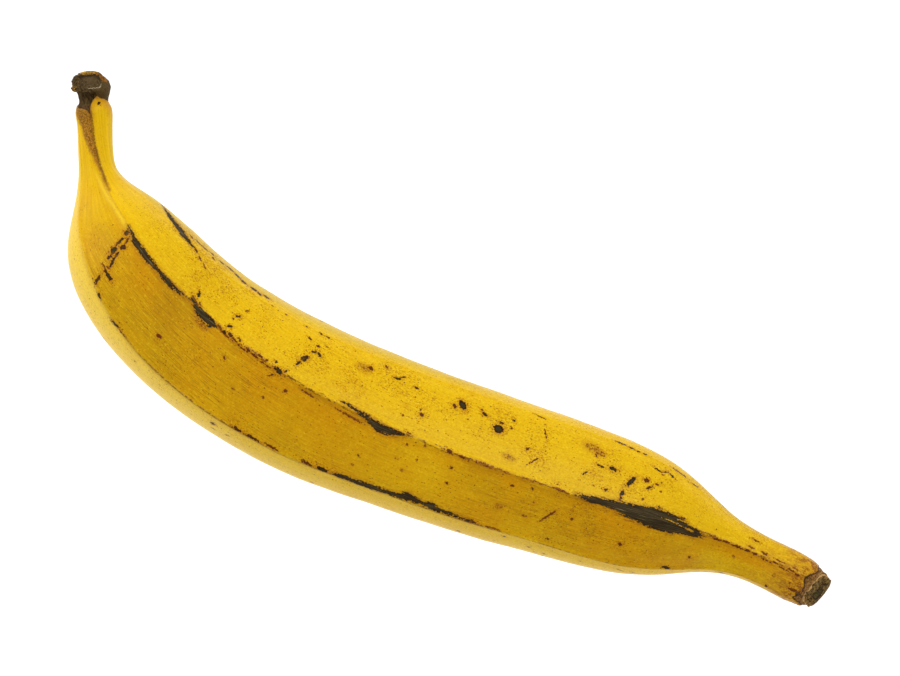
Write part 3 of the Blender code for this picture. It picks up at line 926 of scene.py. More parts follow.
class Finish:
    """The nodes of a material or of the world's light."""

    def __init__(self, owner):
        owner.use_nodes = True
        self.owner = owner
        self.tree = owner.node_tree

    def shade(self, values):
        """Give sockets of the material's own shader their values or links."""
        for key, value in values.items():
            self.put(self.tree.nodes["Principled BSDF"].inputs[key], value)

    def node(self, kind, settings=None, values=None):
        """A new node: its settings are set first, then its sockets get values or links."""
        made = self.tree.nodes.new(kind)
        for name, value in (settings or {}).items():
            setattr(made, name, value)
        for key, value in (values or {}).items():
            self.put(made.inputs[key], value)
        return made

    def put(self, socket, value):
        """Link a socket to another or to a Number, or give it a value: a colour is three parts."""
        value = getattr(value, "socket", value)
        if isinstance(value, bpy.types.NodeSocket):
            self.tree.links.new(value, socket)
        elif socket.type == "RGBA":
            socket.default_value = (*value, 1)
        else:
            socket.default_value = value

    def math(self, operation, *values):
        made = self.node("ShaderNodeMath", {"operation": operation}, dict(enumerate(values)))
        return Number(self, made.outputs[0])

    def most(self, *values):
        highest = values[0]
        for value in values[1:]:
            highest = self.math("MAXIMUM", highest, value)
        return highest

    def ease(self, low, high, value):
        """0 at low, 1 at high, eased and clamped."""
        made = self.node(
            "ShaderNodeMapRange",
            {"interpolation_type": "SMOOTHSTEP"},
            {"Value": value, "From Min": low, "From Max": high},
        )
        return Number(self, made.outputs[0])

    def limited(self, value):
        made = self.node("ShaderNodeClamp", values={"Value": value})
        return Number(self, made.outputs[0])

    def mix(self, share, first, second):
        """Colour first, turned into second by share."""
        made = self.node("ShaderNodeMix", {"data_type": "RGBA"}, {0: share, 6: first, 7: second})
        return made.outputs[2]

    def stretched(self, vector, factors):
        made = self.node("ShaderNodeVectorMath", {"operation": "MULTIPLY"}, {0: vector, 1: factors})
        return made.outputs[0]

    def noise(self, vector, scale, detail, roughness=0.5):
        made = self.node(
            "ShaderNodeTexNoise",
            values={"Vector": vector, "Scale": scale, "Detail": detail, "Roughness": roughness},
        )
        return Number(self, made.outputs[0])

    def cells(self, vector, scale):
        """Distance to the nearest of scattered points, and a random number of that point's own."""
        made = self.node("ShaderNodeTexVoronoi", values={"Vector": vector, "Scale": scale})
        split = self.node("ShaderNodeSeparateColor", values={0: made.outputs["Color"]})
        return Number(self, made.outputs["Distance"]), Number(self, split.outputs[0])

    def attribute(self, name):
        """The three parts of a stored attribute, and its fourth."""
        made = self.node("ShaderNodeAttribute", {"attribute_name": name})
        split = self.node("ShaderNodeSeparateColor", values={0: made.outputs["Color"]})
        return [Number(self, s) for s in (*split.outputs, made.outputs["Alpha"])]

    def vector_attribute(self, name):
        return self.node("ShaderNodeAttribute", {"attribute_name": name}).outputs["Vector"]

    def seen_plain(self, lit, plain, output):
        """Light the scene as lit says, and look to the camera as plain says."""
        ray = self.node("ShaderNodeLightPath")
        choice = self.node(
            "ShaderNodeMixShader",
            values={0: ray.outputs["Is Camera Ray"], 1: lit.outputs[0], 2: plain.outputs[0]},
        )
        self.put(self.tree.nodes[output].inputs["Surface"], choice.outputs[0])

    def place(self):
        """Object coordinates in millimetres."""
        made = self.node("ShaderNodeTexCoord")
        return self.stretched(made.outputs["Object"], (1 / MM,) * 3)

    def bumps(self, height):
        """A normal for heights in millimetres."""
        made = self.node("ShaderNodeBump", values={"Strength": 1.0, "Distance": MM, "Height": height})
        return made.outputs[0]


WHITE = (1, 1, 1)
TAN = (0.46, 0.19, 0.016)
RUST = (0.15, 0.034, 0.005)
BLACK = (0.026, 0.008, 0.002)
ASH = (0.044, 0.034, 0.009)


def aged(f, age, away, grit):
    """The colour of a mark of this age, from dotted tan to black, with an ashen heart where it is oldest."""
    dotted = f.mix(f.ease(0.47, 0.53, grit), TAN, RUST)
    young = f.mix(f.ease(0.3, 0.5, age), dotted, RUST)
    old = f.mix(f.ease(0.85, 0.45, away), BLACK, ASH)
    old = f.mix(f.ease(0.84, 1.02, away) * 0.8, old, RUST)
    return f.mix(f.ease(0.45, 0.85, age), young, old)


def peel_finish(look, layers):
    """Ripe peel with its marks, the dried stalk and the dried tip, as one material."""
    f = Finish(bpy.data.materials.new("ripe_peel"))
    place = f.place()
    grain = f.vector_attribute("grain")
    past_ridge, amber, bruise, patch = f.attribute("skin")
    stalk_dry, tip_dry, inward, along = f.attribute("ends")
    speckle, hairs, olive, flesh = f.attribute("wear_and_painted_light")
    side, up, bare, fold = f.attribute("cut")

    def drawn_out(share):
        """Places for a pattern that a smaller share draws out further along the fibres."""
        return f.stretched(grain, (1.0, 1.0, share))

    def fibres(share, scale, detail, roughness=0.5):
        return f.noise(drawn_out(share), scale, detail, roughness)

    # Living peel: yellow to amber, in fine fibres along the fruit, with painted light making it paler below
    # and painted shade making it darker inside the bend.
    fibre = fibres(0.05, 2.6, 2.0, 0.6)
    thread = fibres(0.05, 4.2, 1.0)
    cloud = f.noise(place, 0.045, 3.0)
    mottle = f.noise(place, 0.35, 3.0, 0.6)
    mottled = mottle - 0.5
    grit = f.noise(place, 1.6, 3.0, 0.7)
    gritty = grit - 0.5
    ripe = amber + (cloud - 0.5) * 0.5 + mottled * 0.40 + (fibre - 0.5) * 0.22
    colour = f.mix(f.limited(ripe), look.peel_yellow, look.peel_amber)
    # Painted light below: a paler peel colour, palest near the stalk, stands in for light thrown up from the
    # table.
    bounce_lit_peel = f.mix(f.ease(80.0, 150.0, along), look.peel_bounce_lit, (0.88, 0.60, 0.020))
    colour = f.mix(f.limited(flesh) * 0.62, colour, bounce_lit_peel)
    # Painted shade inside the bend: a darker, duller colour.
    colour = f.mix(f.limited(flesh * -1.0), colour, (0.50, 0.375, 0.012))
    colour = f.mix(olive * 0.42, colour, (0.38, 0.205, 0.004))
    tide = f.noise(place, 0.07, 2.0)
    colour = f.mix(f.ease(0.50, 0.62, tide) * f.limited(amber) * 0.34, colour, (0.47, 0.265, 0.004))
    colour = f.mix(f.ease(0.48, 0.38, tide) * f.limited(amber) * 0.30, colour, (0.70, 0.30, 0.002))
    rougher = f.ease(25.0, 65.0, along) * 0.65 + 0.35
    colour = f.mix(f.ease(0.50, 0.66, grit) * rougher * 0.32, colour, (0.46, 0.19, 0.002))
    flecked = f.ease(0.45, 0.34, grit) * rougher * (1 - f.limited(amber) * 0.45)
    colour = f.mix(flecked * 0.46, colour, (0.98, 0.72, 0.030))
    band = fibres(0.06, 0.5, 2.0)
    stem = f.ease(56.0, 26.0, along + (cloud - 0.5) * 20)
    colour = f.mix(f.ease(0.52, 0.62, band) * stem * 0.26, colour, (0.62, 0.33, 0.002))
    colour = f.mix(f.ease(0.48, 0.38, band) * stem * 0.26, colour, (0.97, 0.68, 0.012))
    colour = f.mix(f.ease(0.56, 0.66, thread) * f.limited(hairs) * 0.54, colour, (0.24, 0.11, 0.008))
    colour = f.mix(f.ease(0.56, 0.68, fibre) * 0.20, colour, (0.38, 0.18, 0.006))
    colour = f.mix(f.ease(0.44, 0.34, fibre) * 0.20, colour, (0.94, 0.66, 0.014))

    # Where the small marks lie, with torn edges, and how their surroundings are specked too.
    chips, chip_chance = f.cells(place, 1.5)
    chipped = chips - 0.42
    fray = (f.noise(place, 1.7, 2.0, 0.7) - 0.5) * 1.5 + chipped * 1.15
    marks = []
    crowd = 0.0
    for name in layers:
        p, q, near, packed = f.attribute(name)
        known = near > 0.999
        step = f.math("FLOOR", packed / AGE_STEP + 0.01)
        age = packed - step * AGE_STEP
        away = (p * p + q * q) ** 0.5 + fray * (1.25 - step * 0.3)
        marks.append((away, known, age))
        crowd = f.most(crowd, f.ease(4.0, 1.0, away) * known * f.ease(0.3, 0.7, age))

    # Specks: a fine brown pepper in drifts, dashes along the fibres, and larger red-brown dots.
    patchy = f.noise(place, 0.14, 2.0)
    drift = f.limited(speckle * (f.ease(0.40, 0.60, patchy) * 1.15 + 0.25) + crowd * 0.8)
    fleck = fibres(0.6, 2.6, 2.0, 0.7)
    pepper = f.ease(0.0, 0.05, fleck - 0.63 + drift * 0.11) * f.ease(0.05, 0.4, drift)
    colour = f.mix(pepper * 0.60, colour, (0.38, 0.112, 0.003))
    nearest, chance = f.cells(drawn_out(0.6), 1.6)
    fine = f.ease(0.30, 0.15, nearest) * (chance > 0.88 - 0.50 * drift)
    colour = f.mix(fine * 0.80, colour, (0.27, 0.058, 0.004))
    nearest, chance = f.cells(place, 0.62)
    dots = f.ease(0.16, 0.09, nearest + gritty * 0.18) * (chance > 0.96 - 0.36 * drift)
    colour = f.mix(dots * 0.92, colour, (0.13, 0.020, 0.003))
    nearest, chance = f.cells(place, 0.15)
    spot = chance > 0.72
    colour = f.mix(f.ease(0.24, 0.05, nearest) * spot * 0.26, colour, (0.52, 0.20, 0.006))
    heart = f.ease(0.055, 0.035, nearest + gritty * 0.05) * spot
    colour = f.mix(heart * 0.85, colour, (0.16, 0.040, 0.008))

    # The sharp ridges are rubbed: a broken tan line and brown scuffs, with a broken brown band of painted
    # shade below them.
    rub = fibres(0.12, 0.9, 3.0, 0.65)
    scuff = fibres(0.45, 1.5, 2.0, 0.6)
    body = f.ease(60.0, 90.0, along) * f.ease(292.0, 284.0, along)
    wander = past_ridge + mottled * 0.9
    # Painted shade: a brown band just past each sharp ridge, broken up by noise.
    ridge_shade_band = f.ease(0.0, 0.5, wander) * f.ease(2.2, 0.7, wander) * f.ease(0.34, 0.58, rub)
    colour = f.mix(ridge_shade_band * body * 0.34, colour, (0.33, 0.135, 0.004))
    softer = 1 - f.ease(0.03, 0.25, flesh) * 0.75
    tan = f.ease(0.50, 0.15, abs(wander + 0.35)) * f.ease(0.40, 0.52, scuff) * f.ease(0.40, 0.52, rub)
    colour = f.mix(tan * body * softer * 0.60, colour, (0.56, 0.28, 0.055))
    rubbed = f.ease(0.62, 0.34, abs(wander - 0.1) + chipped * 0.7)
    rubbed = rubbed * f.ease(0.45, 0.52, scuff) * f.ease(0.40, 0.50, rub) * body
    colour = f.mix(rubbed * softer * 0.85, colour, (0.13, 0.040, 0.005))

    # The brown patch down the stem, painted shade in the crease it runs into and a painted highlight on the
    # crest, and the russet skin before the tip.
    crumbly = f.noise(place, 2.1, 3.0, 0.7)
    brown = f.ease(-0.6, 0.5, patch + mottled * 1.0 + (crumbly - 0.5) * 2.6)
    bran = f.mix(f.ease(0.44, 0.54, crumbly), (0.110, 0.030, 0.005), (0.46, 0.190, 0.022))
    bran = f.mix(f.ease(0.26, 0.14, chips) * (chip_chance > 0.70) * 0.6, bran, (0.66, 0.40, 0.12))
    bran = f.mix(f.ease(19.0, 8.0, along + mottled * 6) * 0.45, bran, (0.13, 0.055, 0.014))
    colour = f.mix(brown * 0.88, colour, bran)
    blush = f.ease(-7.0, -0.5, stalk_dry + mottled * 6) * (1 - brown)
    colour = f.mix(blush * 0.90, colour, (0.54, 0.245, 0.010))
    # Painted shade in the fold and beside the crest, then a painted highlight on the crest.
    colour = f.mix(f.limited(fold) ** 3 * f.ease(0.38, 0.50, crumbly) * 0.8, colour, (0.15, 0.062, 0.010))
    colour = f.mix(f.limited(fold * -1.6) * 0.6, colour, (0.95, 0.66, 0.030))
    streaky = fibres(0.35, 1.3, 3.0, 0.65)
    russet = f.ease(262.0, 290.0, along + mottled * 30 + gritty * 12)
    leather = f.mix(f.ease(0.46, 0.58, streaky), (0.68, 0.33, 0.014), (0.42, 0.16, 0.012))
    vein = fibres(0.25, 2.0, 3.0, 0.7)
    leather = f.mix(f.ease(0.55, 0.63, vein) * 0.85, leather, (0.17, 0.052, 0.006))
    leather = f.mix(f.ease(0.45, 0.36, vein) * 0.6, leather, (0.86, 0.52, 0.030))
    colour = f.mix(russet * 0.86, colour, leather)
    scorch = f.ease(0.50, 0.60, mottle + gritty * 0.5) * f.ease(274.0, 288.0, along)
    colour = f.mix(scorch * 0.75, colour, (0.22, 0.070, 0.010))
    ember = f.ease(276.0, 289.0, along + mottled * 8) * f.ease(0.50, 0.58, grit * 0.6 + vein * 0.4)
    colour = f.mix(ember * 0.75, colour, (0.36, 0.095, 0.005))

    # Small marks, with a tan rim and crumbs about them.
    crumb = f.ease(0.36, 0.24, chips) * (chip_chance > 0.50)
    for away, known, age in marks:
        halo = f.ease(2.2, 0.9, away) * known * 0.40
        colour = f.mix(halo, colour, (0.44, 0.16, 0.008))
        crumbs = crumb * f.ease(2.1, 1.5, away) * known * f.ease(0.35, 0.6, age)
        colour = f.mix(crumbs * 0.85, colour, RUST)
        solid = f.most(f.ease(0.2, 0.4, age), f.ease(0.46, 0.54, grit) * 0.8 + 0.2)
        marked = f.ease(1.10, 0.94, away) * known * f.ease(-0.3, 0.4, age) * solid
        colour = f.mix(marked, colour, aged(f, age, away, grit))

    # Bruises: grey-black and dull, torn along the fibres, with a red-brown rim.
    torn = (fibres(0.16, 1.7, 3.0, 0.75) - 0.5) * 2.3
    depth = bruise + torn + chipped * 0.9 + (rub - 0.5) * 1.6 + gritty * 0.6
    colour = f.mix(f.ease(-1.2, 0.1, depth) * 0.60, colour, (0.32, 0.115, 0.008))
    dead = f.ease(-0.07, 0.10, depth)
    ash = f.mix(f.ease(0.38, 0.66, thread), (0.021, 0.015, 0.007), (0.060, 0.047, 0.021))
    ash = f.mix(f.ease(0.66, 0.74, thread) * 0.7, ash, (0.24, 0.19, 0.08))
    ash = f.mix(f.ease(0.05, 0.55, depth), (0.015, 0.006, 0.003), ash)
    colour = f.mix(dead * 0.97, colour, ash)

    # Dried stalk: dark fibrous bark, bare wood in the cut with a painted highlight along its upper rim and
    # painted shade in the gap under the lip, and an orange torn lip, painted lighter on one side and darker
    # on the other as painted light and shade.
    strand = f.noise(f.stretched(grain, (0.28, 0.28, 0.40)), 1.4, 4.0, 0.75)
    bark = f.mix(f.ease(0.38, 0.62, strand), (0.034, 0.018, 0.006), (0.122, 0.076, 0.025))
    stub = f.ease(-1.2, -2.6, side + mottled) * f.ease(9.0, 7.0, along)
    bark = f.mix(stub * 0.7, bark, (0.115, 0.072, 0.024))
    bark = f.mix(f.ease(0.60, 0.70, grit) * f.ease(6.0, 9.0, along) * 0.6, bark, (0.26, 0.19, 0.095))
    bark = f.mix(f.ease(7.0, 9.5, along + mottled * 3) * 0.4, bark, (0.11, 0.048, 0.022))
    coarse = grit * 0.7 + mottle * 0.3
    wood = f.mix(f.ease(0.28, 0.70, coarse), (0.040, 0.025, 0.009), (0.140, 0.088, 0.034))
    wood = f.mix(f.ease(0.30, 0.14, chips) * (chip_chance > 0.66) * 0.6, wood, (0.26, 0.185, 0.095))
    cut = f.ease(0.06, 0.10, inward)
    uneven = bare + gritty * 0.25
    bark = f.mix(cut * f.ease(1.04, 0.96, uneven), bark, wood)
    torn_edge = f.noise(f.stretched(f.vector_attribute("cut"), (0.45, 2.4, 0.0)), 1.0, 2.0, 0.6)
    # Painted shade: the gap under the torn lip is darkened.
    gap = cut * f.ease(0.16, 0.04, abs(uneven - 0.95 + mottled * 0.2)) * f.ease(0.4, -0.8, up)
    bark = f.mix(gap * 0.75, bark, (0.020, 0.010, 0.004))
    dashes = f.ease(0.40, 0.56, f.noise(place, 0.9, 2.0, 0.7)) * 0.8 + 0.2
    # Painted highlight: a pale broken line along the upper rim of the cut.
    cut_rim_highlight = cut * f.ease(0.12, 0.05, abs(uneven - 1.0)) * f.ease(0.8, 1.8, up) * f.ease(0.7, 0.0, side)
    bark = f.mix(cut_rim_highlight * dashes * f.ease(-3.8, -3.0, side) * 0.88, bark, (0.55, 0.46, 0.29))
    lip = f.ease(-0.6, -1.8, up + side * 0.35 + mottled * 2.0) * f.ease(1.4, 0.5, along + gritty)
    lip = lip * f.ease(0.92, 1.02, uneven) * f.ease(0.36, 0.46, torn_edge + gritty * 0.6)
    tooth = f.ease(2.8, 4.4, side) * f.ease(4.0, 3.2, along) * f.ease(0.46, 0.56, mottle)
    singed = f.limited(lip + tooth * f.ease(0.42, 0.60, grit) * 0.9)
    # Painted light and shade: the lip's orange is lighter on one side and darker red-brown on the other.
    lit = f.mix(f.ease(-0.6, -2.4, side) * 0.8, (0.64, 0.34, 0.040), (0.30, 0.095, 0.012))
    orange = f.mix(f.ease(0.42, 0.56, grit), (0.11, 0.040, 0.007), lit)
    bark = f.mix(singed * 0.92, bark, orange)
    dried = f.ease(-0.12, 0.12, stalk_dry)
    scorched = f.ease(-1.3, 0.1, stalk_dry + gritty * 1.2)
    colour = f.mix(scorched * 0.55, colour, (0.36, 0.16, 0.02))
    colour = f.mix(dried, colour, bark)

    # Blossom tip: a brown collar, pale torn lines and a dark scar with a greenish hollow.
    collar = f.mix(f.ease(0.38, 0.62, coarse), (0.095, 0.040, 0.009), (0.44, 0.215, 0.055))
    rim = f.ease(0.45, 0.1, abs(along - 290.2)) * f.ease(0.55, 0.42, mottle)
    collar = f.mix(rim * 0.8, collar, (0.52, 0.32, 0.14))
    scar = f.mix(f.ease(0.42, 0.58, coarse), (0.050, 0.026, 0.007), (0.27, 0.165, 0.046))
    scar = f.mix(f.ease(0.32, 0.16, chips) * (chip_chance > 0.6) * 0.7, scar, (0.36, 0.23, 0.085))
    scar = f.mix(cut * f.ease(1.0, 0.80, uneven) * 0.80, scar, (0.100, 0.083, 0.032))
    scar = f.mix(cut * f.ease(0.22, 0.08, abs(uneven - 1.02)) * 0.8, scar, (0.028, 0.014, 0.005))
    scar = f.mix(f.ease(0.20, 0.12, inward) * f.ease(0.44, 0.54, mottle) * 0.6, scar, (0.36, 0.20, 0.060))
    lower_rim = f.ease(0.16, 0.04, inward + gritty * 0.1) * f.ease(0.0, -2.5, up)
    scar = f.mix(lower_rim * 0.85, scar, (0.34, 0.17, 0.045))
    scarred = f.ease(291.5, 291.8, along + gritty * 0.5) * f.ease(-0.02, 0.03, inward + gritty * 0.04)
    collar = f.mix(scarred, collar, scar)
    edge = f.ease(0.52, 0.26, abs(along - 291.4)) * f.ease(0.07, 0.02, inward) * f.ease(-3.5, -1.5, up)
    collar = f.mix(edge * f.ease(0.34, 0.46, mottle + gritty * 0.5), collar, (0.68, 0.41, 0.14))
    crease = f.ease(0.75, 0.1, abs(tip_dry - 0.1 + gritty * 0.3))
    colour = f.mix(f.ease(-0.1, 0.25, tip_dry), colour, collar)
    colour = f.mix(crease * 0.85, colour, (0.050, 0.026, 0.012))

    dry = f.most(dried, f.ease(0.0, 0.5, tip_dry))
    roughness = look.gloss_roughness + (fibre - 0.5) * 0.10 + dead * 0.16 + dry * 0.38 + brown * 0.12
    height = (fibre - 0.5) * -0.022 + (thread - 0.5) * 0.010 + mottled * 0.05
    height = height + gritty * (dry * 0.35 + brown * 0.10 + dead * 0.06 + 0.012)
    height = height + (strand - 0.5) * dry * 0.5 - rubbed * 0.03 - fine * 0.015 - dots * 0.02
    f.shade(
        {
            "Base Color": colour,
            "Roughness": f.limited(roughness),
            "Specular IOR Level": look.shine,
            "Normal": f.bumps(height),
        }
    )
    return f.owner


def table_finish(stage):
    """A white lit table top, seen as pure white, so that nothing on it throws a shadow that shows."""
    f = Finish(bpy.data.materials.new("white_table"))
    f.shade(
        {
            "Base Color": (0.30, 0.30, 0.30),
            "Roughness": 0.9,
            "Specular IOR Level": 0.0,
            "Emission Color": WHITE,
            "Emission Strength": stage.table_glow,
        }
    )
    plain = f.node("ShaderNodeEmission", values={"Strength": 1.2})
    f.seen_plain(f.tree.nodes["Principled BSDF"], plain, "Material Output")
    return f.owner


def soft_sky(stage):
    """White light from all around, seen as pure white."""
    f = Finish(bpy.data.worlds.new("soft_white"))
    sky = f.tree.nodes["Background"]
    f.put(sky.inputs["Color"], WHITE)
    f.put(sky.inputs["Strength"], stage.sky_glow)
    plain = f.node("ShaderNodeBackground", values={"Color": WHITE})
    f.seen_plain(sky, plain, "World Output")
    return f.owner


# ---------------------------------------------------------------------------------------------------------
# Settings.


class SkinLook(bpy.types.PropertyGroup):
    """Colours, gloss and extra marks of the fruit"""

    peel_yellow: FloatVectorProperty(
        name="Peel yellow",
        description="Colour of the brightest peel",
        subtype="COLOR",
        default=(0.82, 0.500, 0.005),
    )
    peel_amber: FloatVectorProperty(
        name="Peel amber",
        description="Colour of the ripest peel",
        subtype="COLOR",
        default=(0.665, 0.305, 0.002),
    )
    # The colour painted on the underside as painted light from the table below.
    peel_bounce_lit: FloatVectorProperty(
        name="Peel pale",
        description="Colour of the palest peel",
        subtype="COLOR",
        default=(0.97, 0.69, 0.085),
    )
    gloss_roughness: FloatProperty(
        name="Peel roughness", description="Roughness of clean peel", default=0.40, min=0, max=1
    )
    shine: FloatProperty(
        name="Shine", description="Strength of reflections off the wax", default=0.06, min=0, max=1
    )
    extra_marks: IntProperty(
        name="Extra marks", description="Small marks scattered over the far sides", default=70, min=0
    )
    mark_seed: IntProperty(name="Mark seed", description="Seed of the extra marks", default=5)


class StageLook(bpy.types.PropertyGroup):
    """Table, light and camera"""

    table_size: FloatProperty(
        name="Table size", description="Side of the table", default=12.0, unit="LENGTH"
    )
    table_glow: FloatProperty(name="Table glow", description="Brightness of the lit table", default=1.15)
    sky_glow: FloatProperty(
        name="Sky glow", description="Brightness of the soft light all around", default=0.36
    )
    key_power: FloatProperty(
        name="Key power", description="Power of the soft key light, in watts", default=6.1
    )
    fill_power: FloatProperty(
        name="Fill power", description="Power of the fill light at the stalk's side, in watts", default=0.75
    )
    camera_distance: FloatProperty(
        name="Camera distance",
        description="From the camera to what it aims at",
        default=0.7512,
        unit="LENGTH",
    )
    camera_elevation: FloatProperty(
        name="Camera elevation",
        description="How far above the horizon the camera stands",
        default=math.radians(80),
        subtype="ANGLE",
    )
    camera_azimuth: FloatProperty(
        name="Camera azimuth",
        description="Turn of the camera around the fruit, from looking along +Y",
        default=math.radians(35.46),
        subtype="ANGLE",
    )
    camera_aim: FloatVectorProperty(
        name="Camera aim",
        description="What the camera aims at, from the middle of the fruit's box on the table",
        default=(0.00245, 0.02855, 0.022),
        subtype="TRANSLATION",
        unit="LENGTH",
    )
    lens: FloatProperty(name="Lens", description="Focal length in millimetres", default=100.0, unit="CAMERA")


# ---------------------------------------------------------------------------------------------------------
# Operators.


def add_attribute(mesh, name, kind, values):
    field = {"FLOAT_COLOR": "color", "FLOAT_VECTOR": "vector"}[kind]
    flat = np.ascontiguousarray(values, np.float32).ravel()
    mesh.attributes.new(name, kind, "POINT").data.foreach_set(field, flat)


def unrolled(mesh, rings, columns):
    """Each vertex of a blank by ring, by column, and by how far out it lies, 1 on the wall."""
    plain = np.empty(len(mesh.vertices) * 3, np.float32)
    mesh.vertices.foreach_get("co", plain)
    plain = plain.reshape(-1, 3)
    ring = np.rint(plain[:, 2] * (rings - 1)).astype(int)
    # A cone's first corner lies on the Y axis, so that angles counted from there fall on whole columns.
    angle = np.arctan2(-plain[:, 0], plain[:, 1])
    column = np.rint(angle / (2 * math.pi) * columns).astype(int) % columns
    return ring, column, np.minimum(1.0, np.hypot(plain[:, 0], plain[:, 1]))


def cut_depths(place, bare, out):
    """How far in the stalk's cut and the tip's scar lie at each point of the caps, in millimetres."""
    grit = (0.18 * rough(place, 0.8, 21) + 0.12 * rough(place, 2.2, 22)) * (1 - ease(0.9, 1.0, out))
    lip = 0.35 * ease(0.82, 1.0, out)
    gap = 0.3 * bump(bare - 1.08, 0.12) * (1 - lip)
    stalk = WOOD_DEPTH * (1 - ease(0.75, 1.02, bare)) + grit - gap
    tip = SCAR_DEPTH * (1 - ease(0.55, 1.0, bare)) + grit
    return stalk, tip


def fitted(points, box):
    """Points in millimetres, moved and scaled so that they fill the box, in metres."""
    low, high = points.min(0), points.max(0)
    lowest, highest = np.array(box[0]), np.array(box[1])
    return lowest + (points - low) / (high - low) * (highest - lowest)


def hang_lamp(context, name, power, size, towards, distance):
    """A round soft lamp that shines on the origin from this direction and distance."""
    lamp = bpy.data.lights.new(name, "AREA")
    lamp.shape = "DISK"
    lamp.size = size
    lamp.energy = power
    hung = bpy.data.objects.new(name, lamp)
    towards = Vector(towards).normalized()
    hung.location = towards * distance
    hung.rotation_euler = towards.to_track_quat("Z", "Y").to_euler()
    context.scene.collection.objects.link(hung)


class PLANTAIN_OT_skin(bpy.types.Operator):
    """Model the fruit's skin, with its ridges, marks, dried stalk and blossom tip"""

    bl_idname = "plantain.skin"
    bl_label = "Skin"

    def execute(self, context):
        look = context.scene.skin_look
        along, turns = ring_stations(), column_turns()
        points, middle = smooth_surface(along, turns)
        places = Places(along, turns, points)
        fields = fields_of(places)
        wall = points + outward(points) * relief(places, fields)[..., None]

        bm = blank(len(along))
        mesh = bpy.data.meshes.new("plantain_skin")
        bm.to_mesh(mesh)
        bm.free()
        ring, column, out = unrolled(mesh, len(along), len(turns))
        place = middle[ring] + (wall[ring, column] - middle[ring]) * out[:, None]
        forward = directions(along)[ring]
        from_middle = place - middle[ring]
        side = from_middle[:, 0] * forward[:, 1] - from_middle[:, 1] * forward[:, 0]
        up = from_middle[:, 2]
        capped = out < ON_WALL
        last = len(along) - 1
        at_stalk, at_tip = capped & (ring == 0), capped & (ring == last)
        bare = np.where(ring < last, oval(side, up, *WOOD), oval(side, up, *SCAR))
        stalk_in, tip_in = cut_depths(place, bare, out)
        place += forward * np.where(at_stalk, stalk_in, 0)[:, None]
        place -= forward * np.where(at_tip, tip_in, 0)[:, None]
        place[:, 2] = np.maximum(0, place[:, 2])
        mesh.vertices.foreach_set("co", fitted(place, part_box(NODE)).astype(np.float32).ravel())

        phase = places.around[ring, column] / places.girth[ring, column] * 2 * math.pi
        radius = GRAIN_RADIUS * out
        grain = np.column_stack([radius * np.cos(phase), radius * np.sin(phase), along[ring]])
        add_attribute(mesh, "grain", "FLOAT_VECTOR", grain)
        skin = [places.past_sharp, fields["amber"], fields["bruise"], fields["patch"]]
        add_attribute(mesh, "skin", "FLOAT_COLOR", np.stack(skin, 2)[ring, column])
        ends = [fields["stalk_dry"][ring, column], fields["tip_dry"][ring, column], 1 - out, along[ring]]
        add_attribute(mesh, "ends", "FLOAT_COLOR", np.column_stack(ends))
        wear_and_painted_light = [fields["speckle"], fields["hairs"], fields["olive"], fields["flesh"]]
        add_attribute(mesh, "wear_and_painted_light", "FLOAT_COLOR", np.stack(wear_and_painted_light, 2)[ring, column])
        cut = [side, up, bare, fields["fold"][ring, column]]
        add_attribute(mesh, "cut", "FLOAT_COLOR", np.column_stack(cut))
        marks = list(MARKS) + hidden_marks(look.extra_marks, look.mark_seed)
        layers = mark_layers(places, marks)
        names = [f"marks_{k + 1}" for k in range(len(layers))]
        for name, layer in zip(names, layers):
            add_attribute(mesh, name, "FLOAT_COLOR", layer[ring, column] * (~capped)[:, None])

        bm = bmesh.new()
        bm.from_mesh(mesh)
        bmesh.ops.recalc_face_normals(bm, faces=bm.faces)
        bm.to_mesh(mesh)
        bm.free()
        mesh.shade_smooth()
        mesh.set_sharp_from_angle(angle=SHARP_ANGLE)
        mesh.materials.append(peel_finish(look, names))
        skin = bpy.data.objects.new("plantain_skin", mesh)
        context.scene.collection.objects.link(skin)
        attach(skin, "root")
        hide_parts(NODE)
        return {"FINISHED"}


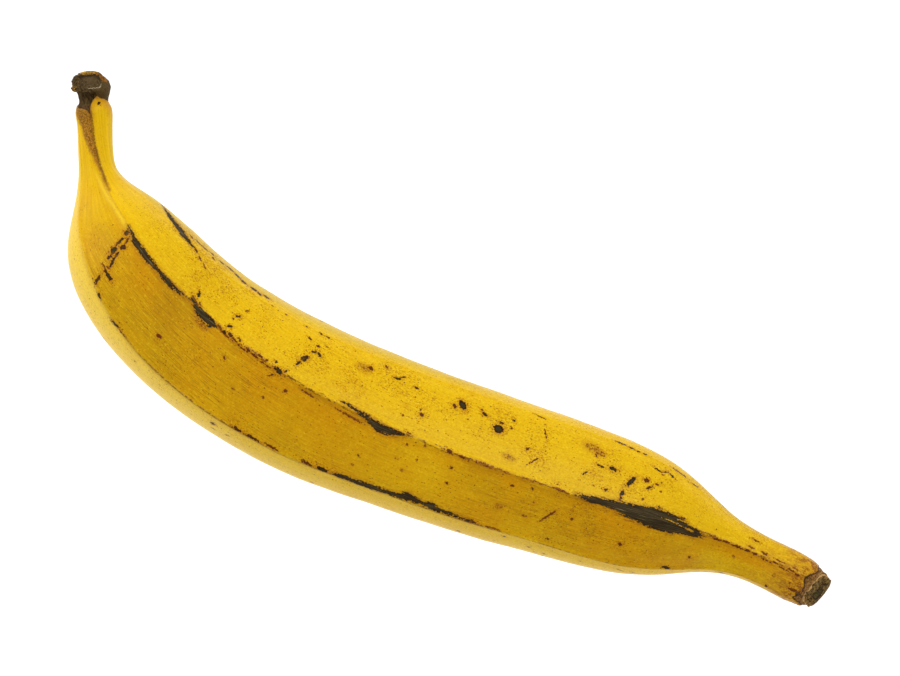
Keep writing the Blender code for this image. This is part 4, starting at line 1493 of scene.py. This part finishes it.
class PLANTAIN_OT_stage(bpy.types.Operator):
    """Lay the white table, set the light and place the camera"""

    bl_idname = "plantain.stage"
    bl_label = "Stage"

    def execute(self, context):
        stage = context.scene.stage_look
        bm = bmesh.new()
        bmesh.ops.create_grid(bm, x_segments=1, y_segments=1, size=stage.table_size / 2)
        mesh = bpy.data.meshes.new("table")
        bm.to_mesh(mesh)
        bm.free()
        mesh.materials.append(table_finish(stage))
        table = bpy.data.objects.new("table", mesh)
        context.scene.collection.objects.link(table)

        context.scene.world = soft_sky(stage)
        hang_lamp(context, "key", stage.key_power, size=0.55, towards=(0.06, 0.46, 0.88), distance=1.1)
        hang_lamp(context, "fill", stage.fill_power, size=0.3, towards=(-0.86, -0.12, 0.50), distance=0.5)

        low, turn = stage.camera_elevation, stage.camera_azimuth
        back = Vector((math.sin(turn) * math.cos(low), -math.cos(turn) * math.cos(low), math.sin(low)))
        right = Vector((math.cos(turn), math.sin(turn), 0))
        up = back.cross(right)
        camera = bpy.data.objects.new("camera", bpy.data.cameras.new("camera"))
        camera.data.lens = stage.lens
        camera.data.sensor_width = SENSOR_WIDTH
        stand = Vector(stage.camera_aim) + back * stage.camera_distance
        turned = Matrix((right, up, back)).transposed().to_4x4()
        camera.matrix_world = Matrix.Translation(stand) @ turned
        context.scene.collection.objects.link(camera)
        context.scene.camera = camera
        context.scene.view_settings.view_transform = "Standard"
        return {"FINISHED"}


class PLANTAIN_PT_panel(bpy.types.Panel):
    """Settings of the fruit and its stage"""

    bl_idname = "PLANTAIN_PT_panel"
    bl_label = "Plantain"
    bl_space_type = "VIEW_3D"
    bl_region_type = "UI"
    bl_category = "Plantain"

    def draw(self, context):
        for group, operator in (("skin_look", "plantain.skin"), ("stage_look", "plantain.stage")):
            box = self.layout.box()
            look = getattr(context.scene, group)
            for name in look.__annotations__:
                box.prop(look, name)
            box.operator(operator)


CLASSES = (SkinLook, StageLook, PLANTAIN_OT_skin, PLANTAIN_OT_stage, PLANTAIN_PT_panel)


def register():
    for kind in CLASSES:
        bpy.utils.register_class(kind)
    bpy.types.Scene.skin_look = PointerProperty(type=SkinLook)
    bpy.types.Scene.stage_look = PointerProperty(type=StageLook)


def unregister():
    del bpy.types.Scene.stage_look
    del bpy.types.Scene.skin_look
    for kind in reversed(CLASSES):
        bpy.utils.unregister_class(kind)


def main():
    register()
    bpy.ops.plantain.stage()
    bpy.ops.plantain.skin()


if __name__ == "__main__":
    main()
